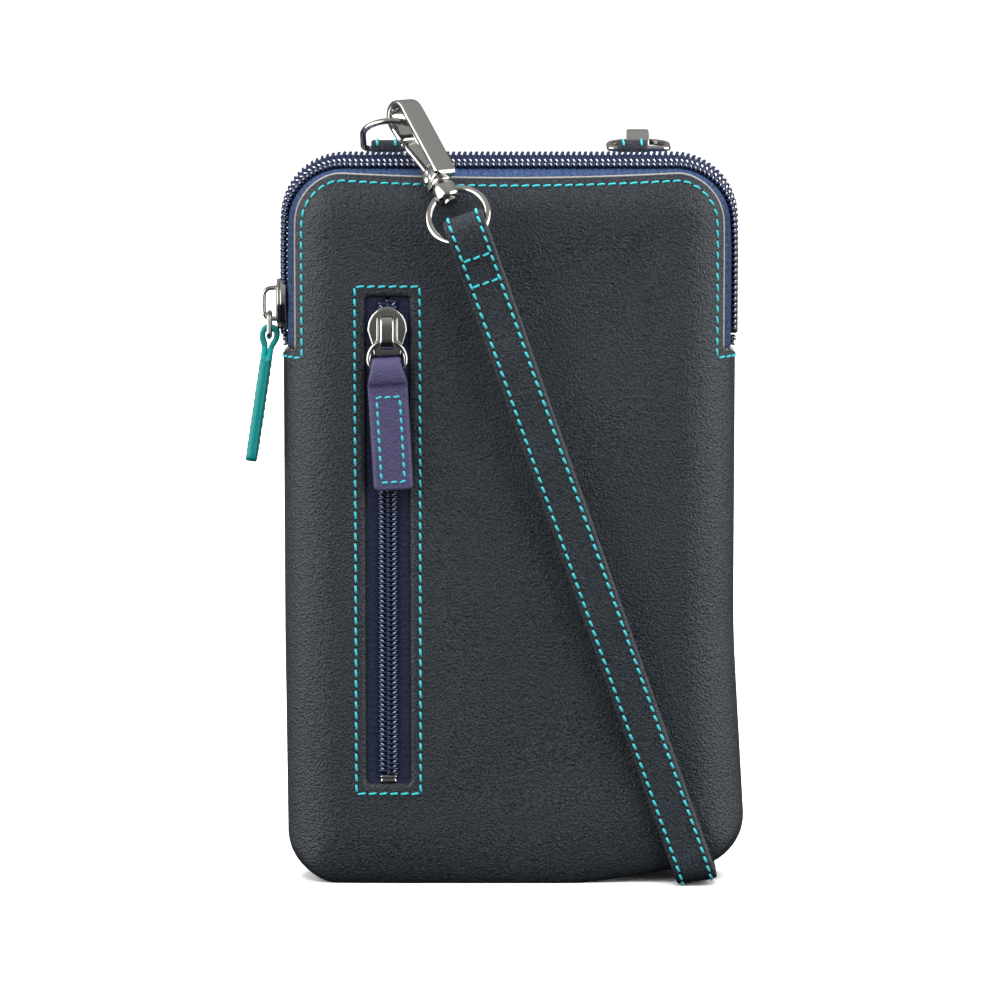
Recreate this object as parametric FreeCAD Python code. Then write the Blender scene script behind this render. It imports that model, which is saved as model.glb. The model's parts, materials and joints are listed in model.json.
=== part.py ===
import FreeCAD, Part
import math
import os

# A zipped leather phone pouch with a clip-on strap, in millimetres.
# X runs to the right of the pouch seen from the front, Y to its back, Z up. The base centre is the origin.

# Outline of the bag, seen from the front
HALF_WIDTH = 55.4
BAG_HEIGHT = 178.8
FLARE_START = 62.0
FLARE_LEFT = -0.6
FLARE_RIGHT = 3.4
TOP_CORNER = 15.8
BOTTOM_CORNER = 12.5
BASE_LEFT_RUN = 19.4
BASE_RIGHT_RUN = 35.4
RISE_LEFT = 0.4
RISE_RIGHT = 5.4
BASE_BLEND = 40.0
BASE_FLAT = 0.4
FLARE_BLEND = 300.0
LEAST_CORNER = 4.0

# Thickness of the bag and the roundness of its edges
HALF_DEPTH = 12.0
BASE_HALF_DEPTH = 8.5
EDGE_RUN = 14.0
BOTTOM_RUN = 8.0
PILLOW_STEPS = 6

# Layers of the wall
LEATHER = 1.2
STIFFENER = 0.8
LINING = 0.4
LAYER_GAP = 0.05
POCKET_ROOM = 1.5

# Arched zip
NOTCH_DROP = 47.3
PANEL_SIDE_INSET = 3.4
PANEL_TOP_INSET = 5.2
PANEL_CORNER = 11.5
LAYER_SETBACK = 1.0
TAPE_THICK = 0.6
COIL_HEIGHT = 1.65
COIL_OUTER = 2.3
COIL_GAP = 0.35
ZIP_END_GAP = 0.4
STOP_LENGTH = 2.6
TAPE_SEAT = 1.1
TAPE_BEND = 0.2

# Sliders
SLIDER_LENGTH = 12.0
SLIDER_PLATE = 1.1
SLIDER_WEB = 0.3
SLIDER_CLEAR = 0.2
MAIN_SLIDER_LIFT = 4.7
MAIN_SLIDER_DEPTH = 9.0
BRIDGE_WIDTH = 3.3
BRIDGE_LENGTH = 8.6
BRIDGE_HEIGHT = 3.6
BRIDGE_WALL = 1.0
BRIDGE_ROUND = 1.98
SLIDER_INNER_PLATE = 0.77
SLIDER_ROUND = 0.33
WEB_SETBACK = 1.0
FLANGE_LIFT = 0.4
LINK_PLAY = 0.25

# Main pull: a wire link and a folded leather strip
LINK_WIRE = 1.2
LINK_LENGTH = 5.6
LINK_WIDTH = 5.4
MAIN_PULL_LENGTH = 32.5
MAIN_PULL_WIDTH = 9.5
MAIN_PULL_THICK = 2.8
MAIN_PULL_SHOULDER = 3.2
MAIN_PULL_TAPER = 2.5
MAIN_PULL_TILT = 8.7
PULL_LEATHER = 1.0
PULL_ROUND = 0.8
PULL_NECK_ROUND = 0.3
LINK_BEND = 1.2

# Front pocket
WINDOW_SIDE = 25.9
WINDOW_WIDTH = 10.5
WINDOW_LENGTH = 119.3
WINDOW_DROP = 34.0
POCKET_TAPE_WIDTH = 10.0
POCKET_TAPE_THICK = 0.5
POCKET_TAPE_LAP = 5.0
POCKET_COIL_OUTER = 2.2
POCKET_COIL_HEIGHT = 0.9
POCKET_SLIDER_WIDTH = 9.7
POCKET_SLIDER_DROP = 2.2
POCKET_STOP_LENGTH = 2.0
POCKET_SIDE = 16.4
POCKET_BAG_LAP = 7.4
POCKET_SHEET = 0.2
POCKET_HOLLOW = 0.25
POCKET_SEAM = 1.0
POCKET_ZIP_END = 0.2

# Pocket pull: a wire ring and a folded leather strip
PULL_RING_RADIUS = 4.45
PULL_RING_WIRE = 1.2
PULL_RING_DROP = 2.4
POCKET_PULL_LIFT = 4.6
POCKET_PULL_FOLD = 3.8
POCKET_PULL_FOLD_LENGTH = 6.4
POCKET_PULL_SWING = 8.0
POCKET_PULL_LENGTH = 32.1
POCKET_PULL_WIDTH = 9.7
POCKET_PULL_NECK = 7.1
POCKET_PULL_SHOULDER = 1.0
POCKET_PULL_TAPER = 4.4
POCKET_PULL_THICK = 2.4

# D-rings in leather tabs on the back panel
TAB_X = 30.0
TAB_WIDTH = 7.3
TAB_Y = 6.5
TAB_RISE = 0.6
TAB_LEATHER = 1.0
TAB_DROP = 12.0
RING_WIRE = 1.5
RING_RADIUS = 7.1
RING_LENGTH = 14.25
RING_BEND = 1.6
RING_SLIDE = 1.6
LEFT_RING_TILT = 58.0
RIGHT_RING_TILT = -87.0
FIT = 0.3

# Trigger snap hooks, on their own upright axis from the centre of the strap ring
STRAP_RING_RADIUS = 7.15
STRAP_RING_WIRE = 1.7
BOSS_RADIUS = 2.1
BOSS_HALF = 1.9
POST_RADIUS = 1.05
POST_HEAD_RADIUS = 1.7
POST_HEAD = 1.2
POST_DEPTH = 1.4
RUN_GAP = 0.15
BARREL_RADIUS = 2.6
BARREL_LENGTH = 5.0
HOOK_TOP = 34.8
HOOK_OUTER = 4.2
HOOK_WALL = 1.5
HOOK_WIDTH = 6.0
HOOK_TIP_Z = 25.5
SPINE_LIFT = 1.5
GATE_WIDTH = 3.2
GATE_THICK = 1.5
GATE_PIN_RADIUS = 0.7
GATE_PIN_FIT = 0.08
GATE_PIN_Z = 12.0
GATE_PIN_Y = 1.3
GATE_TIP_GAP = 0.15
GATE_EYE = 1.15
GATE_ROOM = 0.5
CHEEK_THICK = 0.9
CHEEK_TOP = 14.2
CHEEK_BACK = 1.0
SPRING_WIRE = 0.3
SPRING_RADIUS = 0.7
SPRING_TURNS = 5
SPRING_RISE = 3.6
LEFT_CLASP_SIDE = 17.75
LEFT_CLASP_FRONT = 7.5
LEFT_CLASP_DROP = 13.6
LEFT_HOLD_OFFSET = 4.0
LEFT_HOOK_SPIN = 40.0
HANG_SLACK = 0.8

# Strap: the stretch across the front, then the length put away behind
STRAP_WIDTH = 10.0
STRAP_THICK = 2.0
STRAP_FRONT_GAP = 1.5
STRAP_FOOT_SIDE = 9.4
STRAP_FOOT_TWIST = 9.0
STRAP_FLOOR_GAP = 0.1
HANK_GAP = 2.4
HANK_PITCH = 4.0
HANK_LAST_PITCH = 8.0
HANK_DROP = 15.8
HANK_FOOT = 5.2
HANK_TURNS = 3
LAST_TURN = 3.6
FOOT_TURN = 5.0
JOIN_RISE = 8.0
LOOP_LEATHER = 1.0
LOOP_ROOM = 1.45
LOOP_DEPTH = 5.0
LOOP_TAPER = 9.0
LOOP_SHOULDER = 1.0
LOOP_END_ROUND = 0.2
LOOP_FULL = 0.98
TURN_STEPS = 6
TIE_AT = 84.0
TIE_WIDTH = 9.0
TIE_THICK = 0.8
TIE_CLEAR = 0.15

# Places that follow from these sizes
NOTCH_Z = BAG_HEIGHT - NOTCH_DROP
MAIN_SLIDER_Z = NOTCH_Z + MAIN_SLIDER_LIFT
WINDOW_X = WINDOW_SIDE - HALF_WIDTH
WINDOW_TOP = BAG_HEIGHT - WINDOW_DROP
WINDOW_BOTTOM = WINDOW_TOP - WINDOW_LENGTH
POCKET_SLIDER_TOP = WINDOW_TOP - POCKET_SLIDER_DROP
POCKET_HALF_WIDTH = HALF_WIDTH - POCKET_SIDE
TAB_Z = BAG_HEIGHT + TAB_RISE
HANK_FIRST_Y = HALF_DEPTH + HANK_GAP
HANK_TOP = BAG_HEIGHT - HANK_DROP

X_AXIS = FreeCAD.Vector(1, 0, 0)
Y_AXIS = FreeCAD.Vector(0, 1, 0)
Z_AXIS = FreeCAD.Vector(0, 0, 1)
FAR = 4 * BAG_HEIGHT
NEAR = 0.01


def vec(x, y, z):
    return FreeCAD.Vector(x, y, z)


def save(shape, name):
    """Write one node and print its volume, so that an empty or broken solid is seen at once."""
    shape.exportStep("parts/" + name + ".step")
    print(name, "solids", len(shape.Solids), "valid", shape.isValid(), "mm3", round(shape.Volume, 2))


def box(x0, x1, y0, y1, z0, z1):
    return Part.makeBox(x1 - x0, y1 - y0, z1 - z0, vec(x0, y0, z0))


def rod(start, end, radius):
    return Part.makeCylinder(radius, (end - start).Length, start, end - start)


def rounded_wire(corners, place):
    """A closed wire of straight sides and tangent arcs; corners are (a, b, radius) in the plane of place."""
    edges = []
    ends = []
    count = len(corners)
    for i in range(count):
        a, b, radius = corners[i]
        here = vec(a, b, 0)
        before = vec(corners[i - 1][0], corners[i - 1][1], 0) - here
        after = vec(corners[(i + 1) % count][0], corners[(i + 1) % count][1], 0) - here
        half_angle = before.getAngle(after) / 2
        reach = radius / math.tan(half_angle)
        before.normalize()
        after.normalize()
        bisector = before + after
        bisector.normalize()
        middle = here + bisector * (radius / math.sin(half_angle) - radius)
        ends.append((here + before * reach, middle, here + after * reach))
    for i in range(count):
        start, middle, end = [place(p.x, p.y) for p in ends[i]]
        edges.append(Part.Arc(start, middle, end).toShape())
        following = ends[(i + 1) % count][0]
        edges.append(Part.LineSegment(end, place(following.x, following.y)).toShape())
    return Part.Wire(edges)


def front_plane(y):
    """The upright plane at depth y."""
    return lambda a, b: vec(a, y, b)


def bag_corners(side_inset, bottom_inset, top_inset):
    """The bag's outline drawn in by an inset on each side, as corners for rounded_wire."""
    left = -HALF_WIDTH + side_inset
    right = HALF_WIDTH - side_inset
    top = BAG_HEIGHT - top_inset
    top_radius = max(TOP_CORNER - side_inset, LEAST_CORNER)
    bottom_radius = max(BOTTOM_CORNER - side_inset, LEAST_CORNER)
    return [
        (left + BASE_LEFT_RUN, bottom_inset - BASE_FLAT, BASE_BLEND),
        (right - BASE_RIGHT_RUN, bottom_inset - BASE_FLAT, BASE_BLEND),
        (right + FLARE_RIGHT, RISE_RIGHT + bottom_inset, bottom_radius),
        (right, FLARE_START, FLARE_BLEND),
        (right, top, top_radius),
        (left, top, top_radius),
        (left, FLARE_START, FLARE_BLEND),
        (left - FLARE_LEFT, RISE_LEFT + bottom_inset, bottom_radius),
    ]


def half_pillow(offset, sign):
    """Half of the bag as a solid, drawn in by offset; its outlines shrink on a quarter ellipse."""
    wires = []
    depth_all = HALF_DEPTH - offset
    base = BASE_HALF_DEPTH - offset
    for step in range(PILLOW_STEPS):
        angle = math.radians(90.0 * step / (PILLOW_STEPS - 1))
        depth = depth_all * math.sin(angle)
        inset = offset + EDGE_RUN * (1 - math.cos(angle))
        past_base = max(0.0, depth - base) / (depth_all - base)
        bottom = offset + BOTTOM_RUN * (1 - math.sqrt(1 - past_base ** 2))
        wires.append(rounded_wire(bag_corners(inset, bottom, inset), front_plane(sign * depth)))
    return Part.makeLoft(wires, True, True)


def panel_prism(inset):
    """The upper part of a panel, inside the zip, as a prism through the whole bag."""
    side = HALF_WIDTH - PANEL_SIDE_INSET - inset
    top = BAG_HEIGHT - PANEL_TOP_INSET - inset
    radius = PANEL_CORNER - inset
    corners = [(-side, 0, LEAST_CORNER), (side, 0, LEAST_CORNER), (side, top, radius), (-side, top, radius)]
    return Part.Face(rounded_wire(corners, front_plane(-FAR / 2))).extrude(Y_AXIS * FAR)


def wall_layer(offset, thickness, sign, setback):
    """One layer of the front or back wall, cut back round the arched zip."""
    shell = half_pillow(offset, sign).cut(half_pillow(offset + thickness, sign))
    above = box(-FAR, FAR, -FAR, FAR, NOTCH_Z - setback, FAR)
    return shell.cut(above.cut(panel_prism(setback)))


def window_box(margin, y0, y1):
    half = WINDOW_WIDTH / 2 + margin
    return box(WINDOW_X - half, WINDOW_X + half, y0, y1, WINDOW_BOTTOM - margin, WINDOW_TOP + margin)


STIFFENER_OFFSET = LEATHER + LAYER_GAP
LINING_OFFSET = STIFFENER_OFFSET + STIFFENER + POCKET_ROOM
FACE_Y = -HALF_DEPTH
LINING_Y = FACE_Y + LINING_OFFSET


def bag_walls():
    for name, sign in (("front", -1), ("back", 1)):
        panel = wall_layer(0.0, LEATHER, sign, 0.0).cut(box(-FAR, FAR, -FAR, FAR, -FAR, 0))
        stiffener = wall_layer(STIFFENER_OFFSET, STIFFENER, sign, LAYER_SETBACK)
        if sign < 0:
            panel = panel.cut(window_box(0.0, -FAR, 0))
            stiffener = stiffener.cut(window_box(POCKET_TAPE_LAP + LAYER_SETBACK, -FAR, 0))
        save(panel, name + "_panel")
        save(stiffener, name + "_stiffener")
        save(wall_layer(LINING_OFFSET, LINING, sign, LAYER_SETBACK), name + "_lining")


def arch_path(z0):
    """The line of the zip's outer edge: up the left side, over the top and down the right."""
    left = -HALF_WIDTH
    straight = BAG_HEIGHT - TOP_CORNER
    slant = TOP_CORNER * (1 - math.sqrt(0.5))
    edges = [
        Part.LineSegment(vec(left, 0, z0), vec(left, 0, straight)).toShape(),
        Part.Arc(
            vec(left, 0, straight),
            vec(left + slant, 0, BAG_HEIGHT - slant),
            vec(left + TOP_CORNER, 0, BAG_HEIGHT),
        ).toShape(),
        Part.LineSegment(
            vec(left + TOP_CORNER, 0, BAG_HEIGHT),
            vec(-left - TOP_CORNER, 0, BAG_HEIGHT),
        ).toShape(),
        Part.Arc(
            vec(-left - TOP_CORNER, 0, BAG_HEIGHT),
            vec(-left - slant, 0, BAG_HEIGHT - slant),
            vec(-left, 0, straight),
        ).toShape(),
        Part.LineSegment(vec(-left, 0, straight), vec(-left, 0, z0)).toShape(),
    ]
    return Part.Wire(edges)


def along_arch(section, z0):
    """Carry a section of (inset, depth) points along the zip's arch."""
    points = [vec(-HALF_WIDTH + inset, depth, z0) for inset, depth in section]
    profile = Part.makePolygon(points + [points[0]])
    return arch_path(z0).makePipeShell([profile], True, False)


def main_zip():
    coil_start = NOTCH_Z + ZIP_END_GAP + STOP_LENGTH
    tape_top = COIL_HEIGHT + LAYER_GAP
    tape_low = tape_top + TAPE_THICK
    edge_inset = PANEL_SIDE_INSET
    edge_depth = HALF_DEPTH * math.sqrt(1 - (1 - edge_inset / EDGE_RUN) ** 2) - LEATHER - TAPE_SEAT
    stops = []
    for name, sign in (("front", -1), ("back", 1)):
        tape = [
            (tape_top, sign * COIL_GAP),
            (tape_top, sign * COIL_OUTER),
            (edge_inset, sign * edge_depth),
            (edge_inset + TAPE_THICK, sign * edge_depth),
            (tape_low, sign * (COIL_OUTER - TAPE_BEND)),
            (tape_low, sign * COIL_GAP),
        ]
        coil = [(0, sign * COIL_GAP), (0, sign * COIL_OUTER), (COIL_HEIGHT, sign * COIL_OUTER),
                (COIL_HEIGHT, sign * COIL_GAP)]
        save(along_arch(tape, NOTCH_Z + ZIP_END_GAP), "main_zip_" + name + "_tape")
        save(along_arch(coil, coil_start), "main_zip_" + name + "_coil")
    for side in (-1, 1):
        outer = side * HALF_WIDTH
        inner = side * (HALF_WIDTH - COIL_HEIGHT)
        stops.append(box(min(outer, inner), max(outer, inner), -COIL_OUTER, COIL_OUTER,
                         NOTCH_Z + ZIP_END_GAP, coil_start - LAYER_GAP))
    save(Part.makeCompound(stops), "main_zip_end_stops")


def slider(plate_width, chain_half, chain_height, chain_low):
    """A zip slider on the local plane: X across the chain, Y out of the face, Z along it, zero at its foot.

    The outer plate lies over the coils, a thin web passes between the two rows and carries the inner plate,
    and a bridge on the outer plate holds the pull.
    """
    half = plate_width / 2
    low = SLIDER_CLEAR
    high = low + SLIDER_PLATE
    outer = box(-half, half, low, high, 0, SLIDER_LENGTH)
    nose = [e for e in outer.Edges if abs(e.CenterOfMass.z - SLIDER_LENGTH / 2) < NEAR]
    outer = outer.makeFillet(SLIDER_ROUND, nose)
    web = box(-SLIDER_WEB / 2, SLIDER_WEB / 2, -chain_low - SLIDER_CLEAR, low, WEB_SETBACK,
              SLIDER_LENGTH - WEB_SETBACK)
    inner_half = chain_half - SLIDER_CLEAR
    inner_top = -chain_low - SLIDER_CLEAR
    inner = box(-inner_half, inner_half, inner_top - SLIDER_INNER_PLATE, inner_top, 0, SLIDER_LENGTH)
    flange_in = chain_half + SLIDER_CLEAR
    flanges = []
    for side in (-1, 1):
        x0 = min(side * flange_in, side * half)
        x1 = max(side * flange_in, side * half)
        flanges.append(box(x0, x1, -chain_height + FLANGE_LIFT, low, 0, SLIDER_LENGTH))
    foot = (SLIDER_LENGTH - BRIDGE_LENGTH) / 2
    arch = box(-BRIDGE_WIDTH / 2, BRIDGE_WIDTH / 2, high, high + BRIDGE_HEIGHT, foot, foot + BRIDGE_LENGTH)
    crown = [e for e in arch.Edges if e.CenterOfMass.y > high + BRIDGE_HEIGHT - NEAR
             and abs(e.CenterOfMass.x) < NEAR]
    arch = arch.makeFillet(BRIDGE_ROUND, crown)
    tunnel = box(-FAR, FAR, high, high + BRIDGE_HEIGHT - BRIDGE_WALL, foot + BRIDGE_WALL,
                 foot + BRIDGE_LENGTH - BRIDGE_WALL)
    body = outer.fuse([web, inner, arch.cut(tunnel)] + flanges)
    return body.removeSplitter()


def placed(shape, origin, x_dir, z_dir):
    """Put a shape from its local frame at origin, with its X and Z along the given directions."""
    y_dir = z_dir.cross(x_dir)
    matrix = FreeCAD.Matrix(
        x_dir.x, y_dir.x, z_dir.x, origin.x,
        x_dir.y, y_dir.y, z_dir.y, origin.y,
        x_dir.z, y_dir.z, z_dir.z, origin.z,
        0, 0, 0, 1,
    )
    moved = shape.copy()
    moved.Placement = FreeCAD.Placement(matrix).multiply(moved.Placement)
    return moved


LINK_SEAT = BRIDGE_WALL + LINK_WIRE / 2 + LINK_PLAY
MAIN_BRIDGE_X = -HALF_WIDTH - SLIDER_CLEAR - SLIDER_PLATE - BRIDGE_HEIGHT + LINK_SEAT
MAIN_LINK_Z = MAIN_SLIDER_Z + (SLIDER_LENGTH - BRIDGE_LENGTH) / 2 + LINK_SEAT


def wire_frame(half_width, length, radius, bend):
    """A closed frame of round wire in the local XZ plane: a top bar at Z 0 and a bottom bar at -length."""
    corners = [(-half_width, 0, bend), (-half_width, -length, bend),
               (half_width, -length, bend), (half_width, 0, bend)]
    path = rounded_wire(corners, front_plane(0))
    profile = Part.Wire(Part.makeCircle(radius, vec(half_width, 0, -length / 2), Z_AXIS))
    return path.makePipeShell([profile], True, False)


def pull_strip(top, length, width, neck, shoulder, taper, thick):
    """A folded leather strip in the local XZ plane, its top at Z top, drawn in over taper to a neck there."""
    low = top - length
    half = width / 2
    wide = top - shoulder - taper
    corners = [
        (-half, low, PULL_ROUND), (half, low, PULL_ROUND),
        (half, wide, PULL_ROUND), (neck / 2, top - shoulder, PULL_NECK_ROUND),
        (neck / 2, top, PULL_NECK_ROUND), (-neck / 2, top, PULL_NECK_ROUND),
        (-neck / 2, top - shoulder, PULL_NECK_ROUND), (-half, wide, PULL_ROUND),
    ]
    return Part.Face(rounded_wire(corners, front_plane(-thick / 2))).extrude(Y_AXIS * thick)


def main_slider_group():
    body = slider(MAIN_SLIDER_DEPTH, COIL_OUTER, COIL_HEIGHT, COIL_HEIGHT + LAYER_GAP + TAPE_THICK)
    save(placed(body, vec(-HALF_WIDTH, 0, MAIN_SLIDER_Z), vec(0, 1, 0), Z_AXIS), "main_slider")
    link_at = vec(MAIN_BRIDGE_X, 0, MAIN_LINK_Z)
    frame = wire_frame(LINK_WIDTH / 2, LINK_LENGTH, LINK_WIRE / 2, LINK_BEND)
    save(placed(frame, link_at, vec(0, 1, 0), Z_AXIS), "main_pull_link")
    hole = LINK_WIRE / 2 + FIT / 2
    drop = hole + PULL_LEATHER
    neck = LINK_WIDTH - LINK_WIRE - 2 * FIT
    pull = pull_strip(0, MAIN_PULL_LENGTH, MAIN_PULL_WIDTH, neck, MAIN_PULL_SHOULDER, MAIN_PULL_TAPER,
                      MAIN_PULL_THICK)
    pull = pull.cut(rod(vec(-MAIN_PULL_WIDTH, 0, -drop), vec(MAIN_PULL_WIDTH, 0, -drop), hole))
    tilt = math.radians(MAIN_PULL_TILT)
    along = vec(math.sin(tilt), 0, math.cos(tilt))
    hold = link_at - Z_AXIS * LINK_LENGTH
    save(placed(pull, hold + along * drop, vec(0, 1, 0), along), "main_pull_leather")


def front_pocket():
    tape_y = FACE_Y + LEATHER + LAYER_GAP
    coil_y = tape_y - LAYER_GAP
    for name, side in (("left", -1), ("right", 1)):
        near = WINDOW_X + side * COIL_GAP
        tape_far = WINDOW_X + side * POCKET_TAPE_WIDTH
        coil_far = WINDOW_X + side * POCKET_COIL_OUTER
        z0 = WINDOW_BOTTOM - POCKET_TAPE_LAP
        z1 = WINDOW_TOP + POCKET_TAPE_LAP
        tape = box(min(near, tape_far), max(near, tape_far), tape_y, tape_y + POCKET_TAPE_THICK, z0, z1)
        coil = box(min(near, coil_far), max(near, coil_far), coil_y - POCKET_COIL_HEIGHT, coil_y,
                   WINDOW_BOTTOM + POCKET_STOP_LENGTH + POCKET_ZIP_END, WINDOW_TOP - POCKET_ZIP_END)
        save(tape, "pocket_zip_" + name + "_tape")
        save(coil, "pocket_zip_" + name + "_coil")
    stop_left = WINDOW_X - POCKET_COIL_OUTER
    stop_right = WINDOW_X + POCKET_COIL_OUTER
    stop = box(stop_left, stop_right, coil_y - POCKET_COIL_HEIGHT, coil_y,
               WINDOW_BOTTOM + LAYER_GAP, WINDOW_BOTTOM + POCKET_STOP_LENGTH)
    save(stop, "pocket_zip_end_stop")
    back_y = LINING_Y - LAYER_GAP
    thick = 2 * POCKET_SHEET + POCKET_HOLLOW
    half = POCKET_HALF_WIDTH
    bag_low = WINDOW_BOTTOM - POCKET_BAG_LAP
    bag_high = WINDOW_TOP + POCKET_BAG_LAP
    bag = box(-half, half, back_y - thick, back_y, bag_low, bag_high)
    room_half = POCKET_HALF_WIDTH - POCKET_SEAM
    room = box(-room_half, room_half, back_y - thick + POCKET_SHEET, back_y - POCKET_SHEET,
               bag_low + POCKET_SEAM, bag_high - POCKET_SEAM)
    mouth = window_box(0.0, -FAR, back_y - thick + POCKET_SHEET)
    save(bag.cut(room).cut(mouth), "pocket_bag")


POCKET_COIL_Y = FACE_Y + LEATHER - POCKET_COIL_HEIGHT
RING_SEAT = BRIDGE_WALL + PULL_RING_WIRE / 2
POCKET_BRIDGE_Y = POCKET_COIL_Y - SLIDER_CLEAR - SLIDER_PLATE - BRIDGE_HEIGHT + RING_SEAT + FIT
POCKET_RING_Z = POCKET_SLIDER_TOP - SLIDER_LENGTH + PULL_RING_DROP + RING_SEAT


def pocket_slider_group():
    body = slider(POCKET_SLIDER_WIDTH, POCKET_COIL_OUTER, POCKET_COIL_HEIGHT,
                  POCKET_COIL_HEIGHT + LAYER_GAP + POCKET_TAPE_THICK)
    foot = vec(WINDOW_X, POCKET_COIL_Y, POCKET_SLIDER_TOP - SLIDER_LENGTH)
    save(placed(body, foot, vec(-1, 0, 0), Z_AXIS), "pocket_slider")
    centre = vec(WINDOW_X, POCKET_BRIDGE_Y, POCKET_RING_Z - PULL_RING_RADIUS)
    save(Part.makeTorus(PULL_RING_RADIUS, PULL_RING_WIRE / 2, centre, Y_AXIS), "pocket_pull_ring")
    low = centre - Z_AXIS * PULL_RING_RADIUS
    top = low.z + POCKET_PULL_LIFT
    sizes = (top, POCKET_PULL_LENGTH, POCKET_PULL_WIDTH, POCKET_PULL_NECK, POCKET_PULL_SHOULDER,
             POCKET_PULL_TAPER)
    fold_low = top - POCKET_PULL_FOLD_LENGTH
    fold = pull_strip(*sizes, POCKET_PULL_FOLD).common(box(-FAR, FAR, -FAR, FAR, fold_low, FAR))
    pull = pull_strip(*sizes, POCKET_PULL_THICK).fuse(fold)
    pull.translate(vec(WINDOW_X, POCKET_BRIDGE_Y, 0))
    for turn in (-POCKET_PULL_SWING, 0.0, POCKET_PULL_SWING):
        slot = Part.makeTorus(PULL_RING_RADIUS, PULL_RING_WIRE / 2 + FIT / 2, centre, Y_AXIS)
        slot.rotate(low, X_AXIS, turn)
        pull = pull.cut(slot)
    save(pull.removeSplitter(), "pocket_pull_leather")


def d_ring():
    """A D-ring in the local XZ plane: its bar along X at Z 0, its bow at RING_LENGTH."""
    straight = RING_LENGTH - RING_RADIUS
    wire = RING_WIRE / 2
    start = vec(-RING_RADIUS, 0, RING_BEND)
    side = math.sqrt(0.5)
    corner = RING_BEND * (1 - side)
    edges = [
        Part.LineSegment(start, vec(-RING_RADIUS, 0, straight)).toShape(),
        Part.Arc(vec(-RING_RADIUS, 0, straight), vec(0, 0, RING_LENGTH),
                 vec(RING_RADIUS, 0, straight)).toShape(),
        Part.LineSegment(vec(RING_RADIUS, 0, straight), vec(RING_RADIUS, 0, RING_BEND)).toShape(),
        Part.Arc(vec(RING_RADIUS, 0, RING_BEND), vec(RING_RADIUS - corner, 0, corner),
                 vec(RING_RADIUS - RING_BEND, 0, 0)).toShape(),
        Part.LineSegment(vec(RING_RADIUS - RING_BEND, 0, 0), vec(-RING_RADIUS + RING_BEND, 0, 0)).toShape(),
        Part.Arc(vec(-RING_RADIUS + RING_BEND, 0, 0), vec(-RING_RADIUS + corner, 0, corner), start).toShape(),
    ]
    profile = Part.Wire(Part.makeCircle(wire, start, Z_AXIS))
    return Part.Wire(edges).makePipeShell([profile], True, False)


def ring_tab(x):
    """A leather tab rolled round the bar of a D-ring, with a tail that lies on the back panel's top edge."""
    bore = RING_WIRE / 2 + FIT / 2
    x0 = x - TAB_WIDTH / 2
    x1 = x + TAB_WIDTH / 2
    roll = rod(vec(x0, TAB_Y, TAB_Z), vec(x1, TAB_Y, TAB_Z), bore + TAB_LEATHER)
    skin = half_pillow(-LAYER_GAP - TAB_LEATHER, 1).cut(half_pillow(-LAYER_GAP, 1))
    tail = skin.common(box(x0, x1, TAB_Y - bore, FAR, TAB_Z - TAB_DROP, TAB_Z))
    hole = rod(vec(x - TAB_WIDTH, TAB_Y, TAB_Z), vec(x + TAB_WIDTH, TAB_Y, TAB_Z), bore)
    return roll.cut(half_pillow(-LAYER_GAP, 1)).fuse(tail).cut(hole).removeSplitter()


def ring_direction(tilt):
    angle = math.radians(tilt)
    return vec(0, -math.sin(angle), math.cos(angle))


def d_rings():
    for name, x, tilt in (("left", -TAB_X, LEFT_RING_TILT), ("right", TAB_X, RIGHT_RING_TILT)):
        save(ring_tab(x), name + "_ring_tab")
        ring = placed(d_ring(), vec(x + RING_SLIDE, TAB_Y, TAB_Z), X_AXIS, ring_direction(tilt))
        save(ring, name + "_d_ring")


BOSS_Z = STRAP_RING_RADIUS
BARREL_Z = BOSS_Z + BOSS_HALF + RUN_GAP
CURL_Z = HOOK_TOP - HOOK_OUTER
HOOK_INNER = HOOK_OUTER - HOOK_WALL
GATE_TIP_Y = HOOK_OUTER - GATE_THICK / 2 - GATE_TIP_GAP
GATE_LENGTH = HOOK_TIP_Z - RUN_GAP - GATE_PIN_Z
GATE_LEAN = math.degrees(math.asin((GATE_TIP_Y - GATE_PIN_Y) / GATE_LENGTH))


def strap_ring():
    ring = Part.makeTorus(STRAP_RING_RADIUS, STRAP_RING_WIRE / 2, vec(0, 0, 0), Y_AXIS)
    boss = rod(vec(0, 0, BOSS_Z - BOSS_HALF), vec(0, 0, BOSS_Z + BOSS_HALF), BOSS_RADIUS)
    bore = rod(vec(0, 0, 0), vec(0, 0, BOSS_Z + BOSS_HALF * 2), POST_RADIUS + RUN_GAP)
    return ring.fuse(boss).cut(bore).removeSplitter()


def swivel_post():
    head_top = BOSS_Z - BOSS_HALF - RUN_GAP
    head = rod(vec(0, 0, head_top - POST_HEAD), vec(0, 0, head_top), POST_HEAD_RADIUS)
    shank = rod(vec(0, 0, head_top), vec(0, 0, BARREL_Z + POST_DEPTH), POST_RADIUS)
    return head.fuse(shank).removeSplitter()


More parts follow.
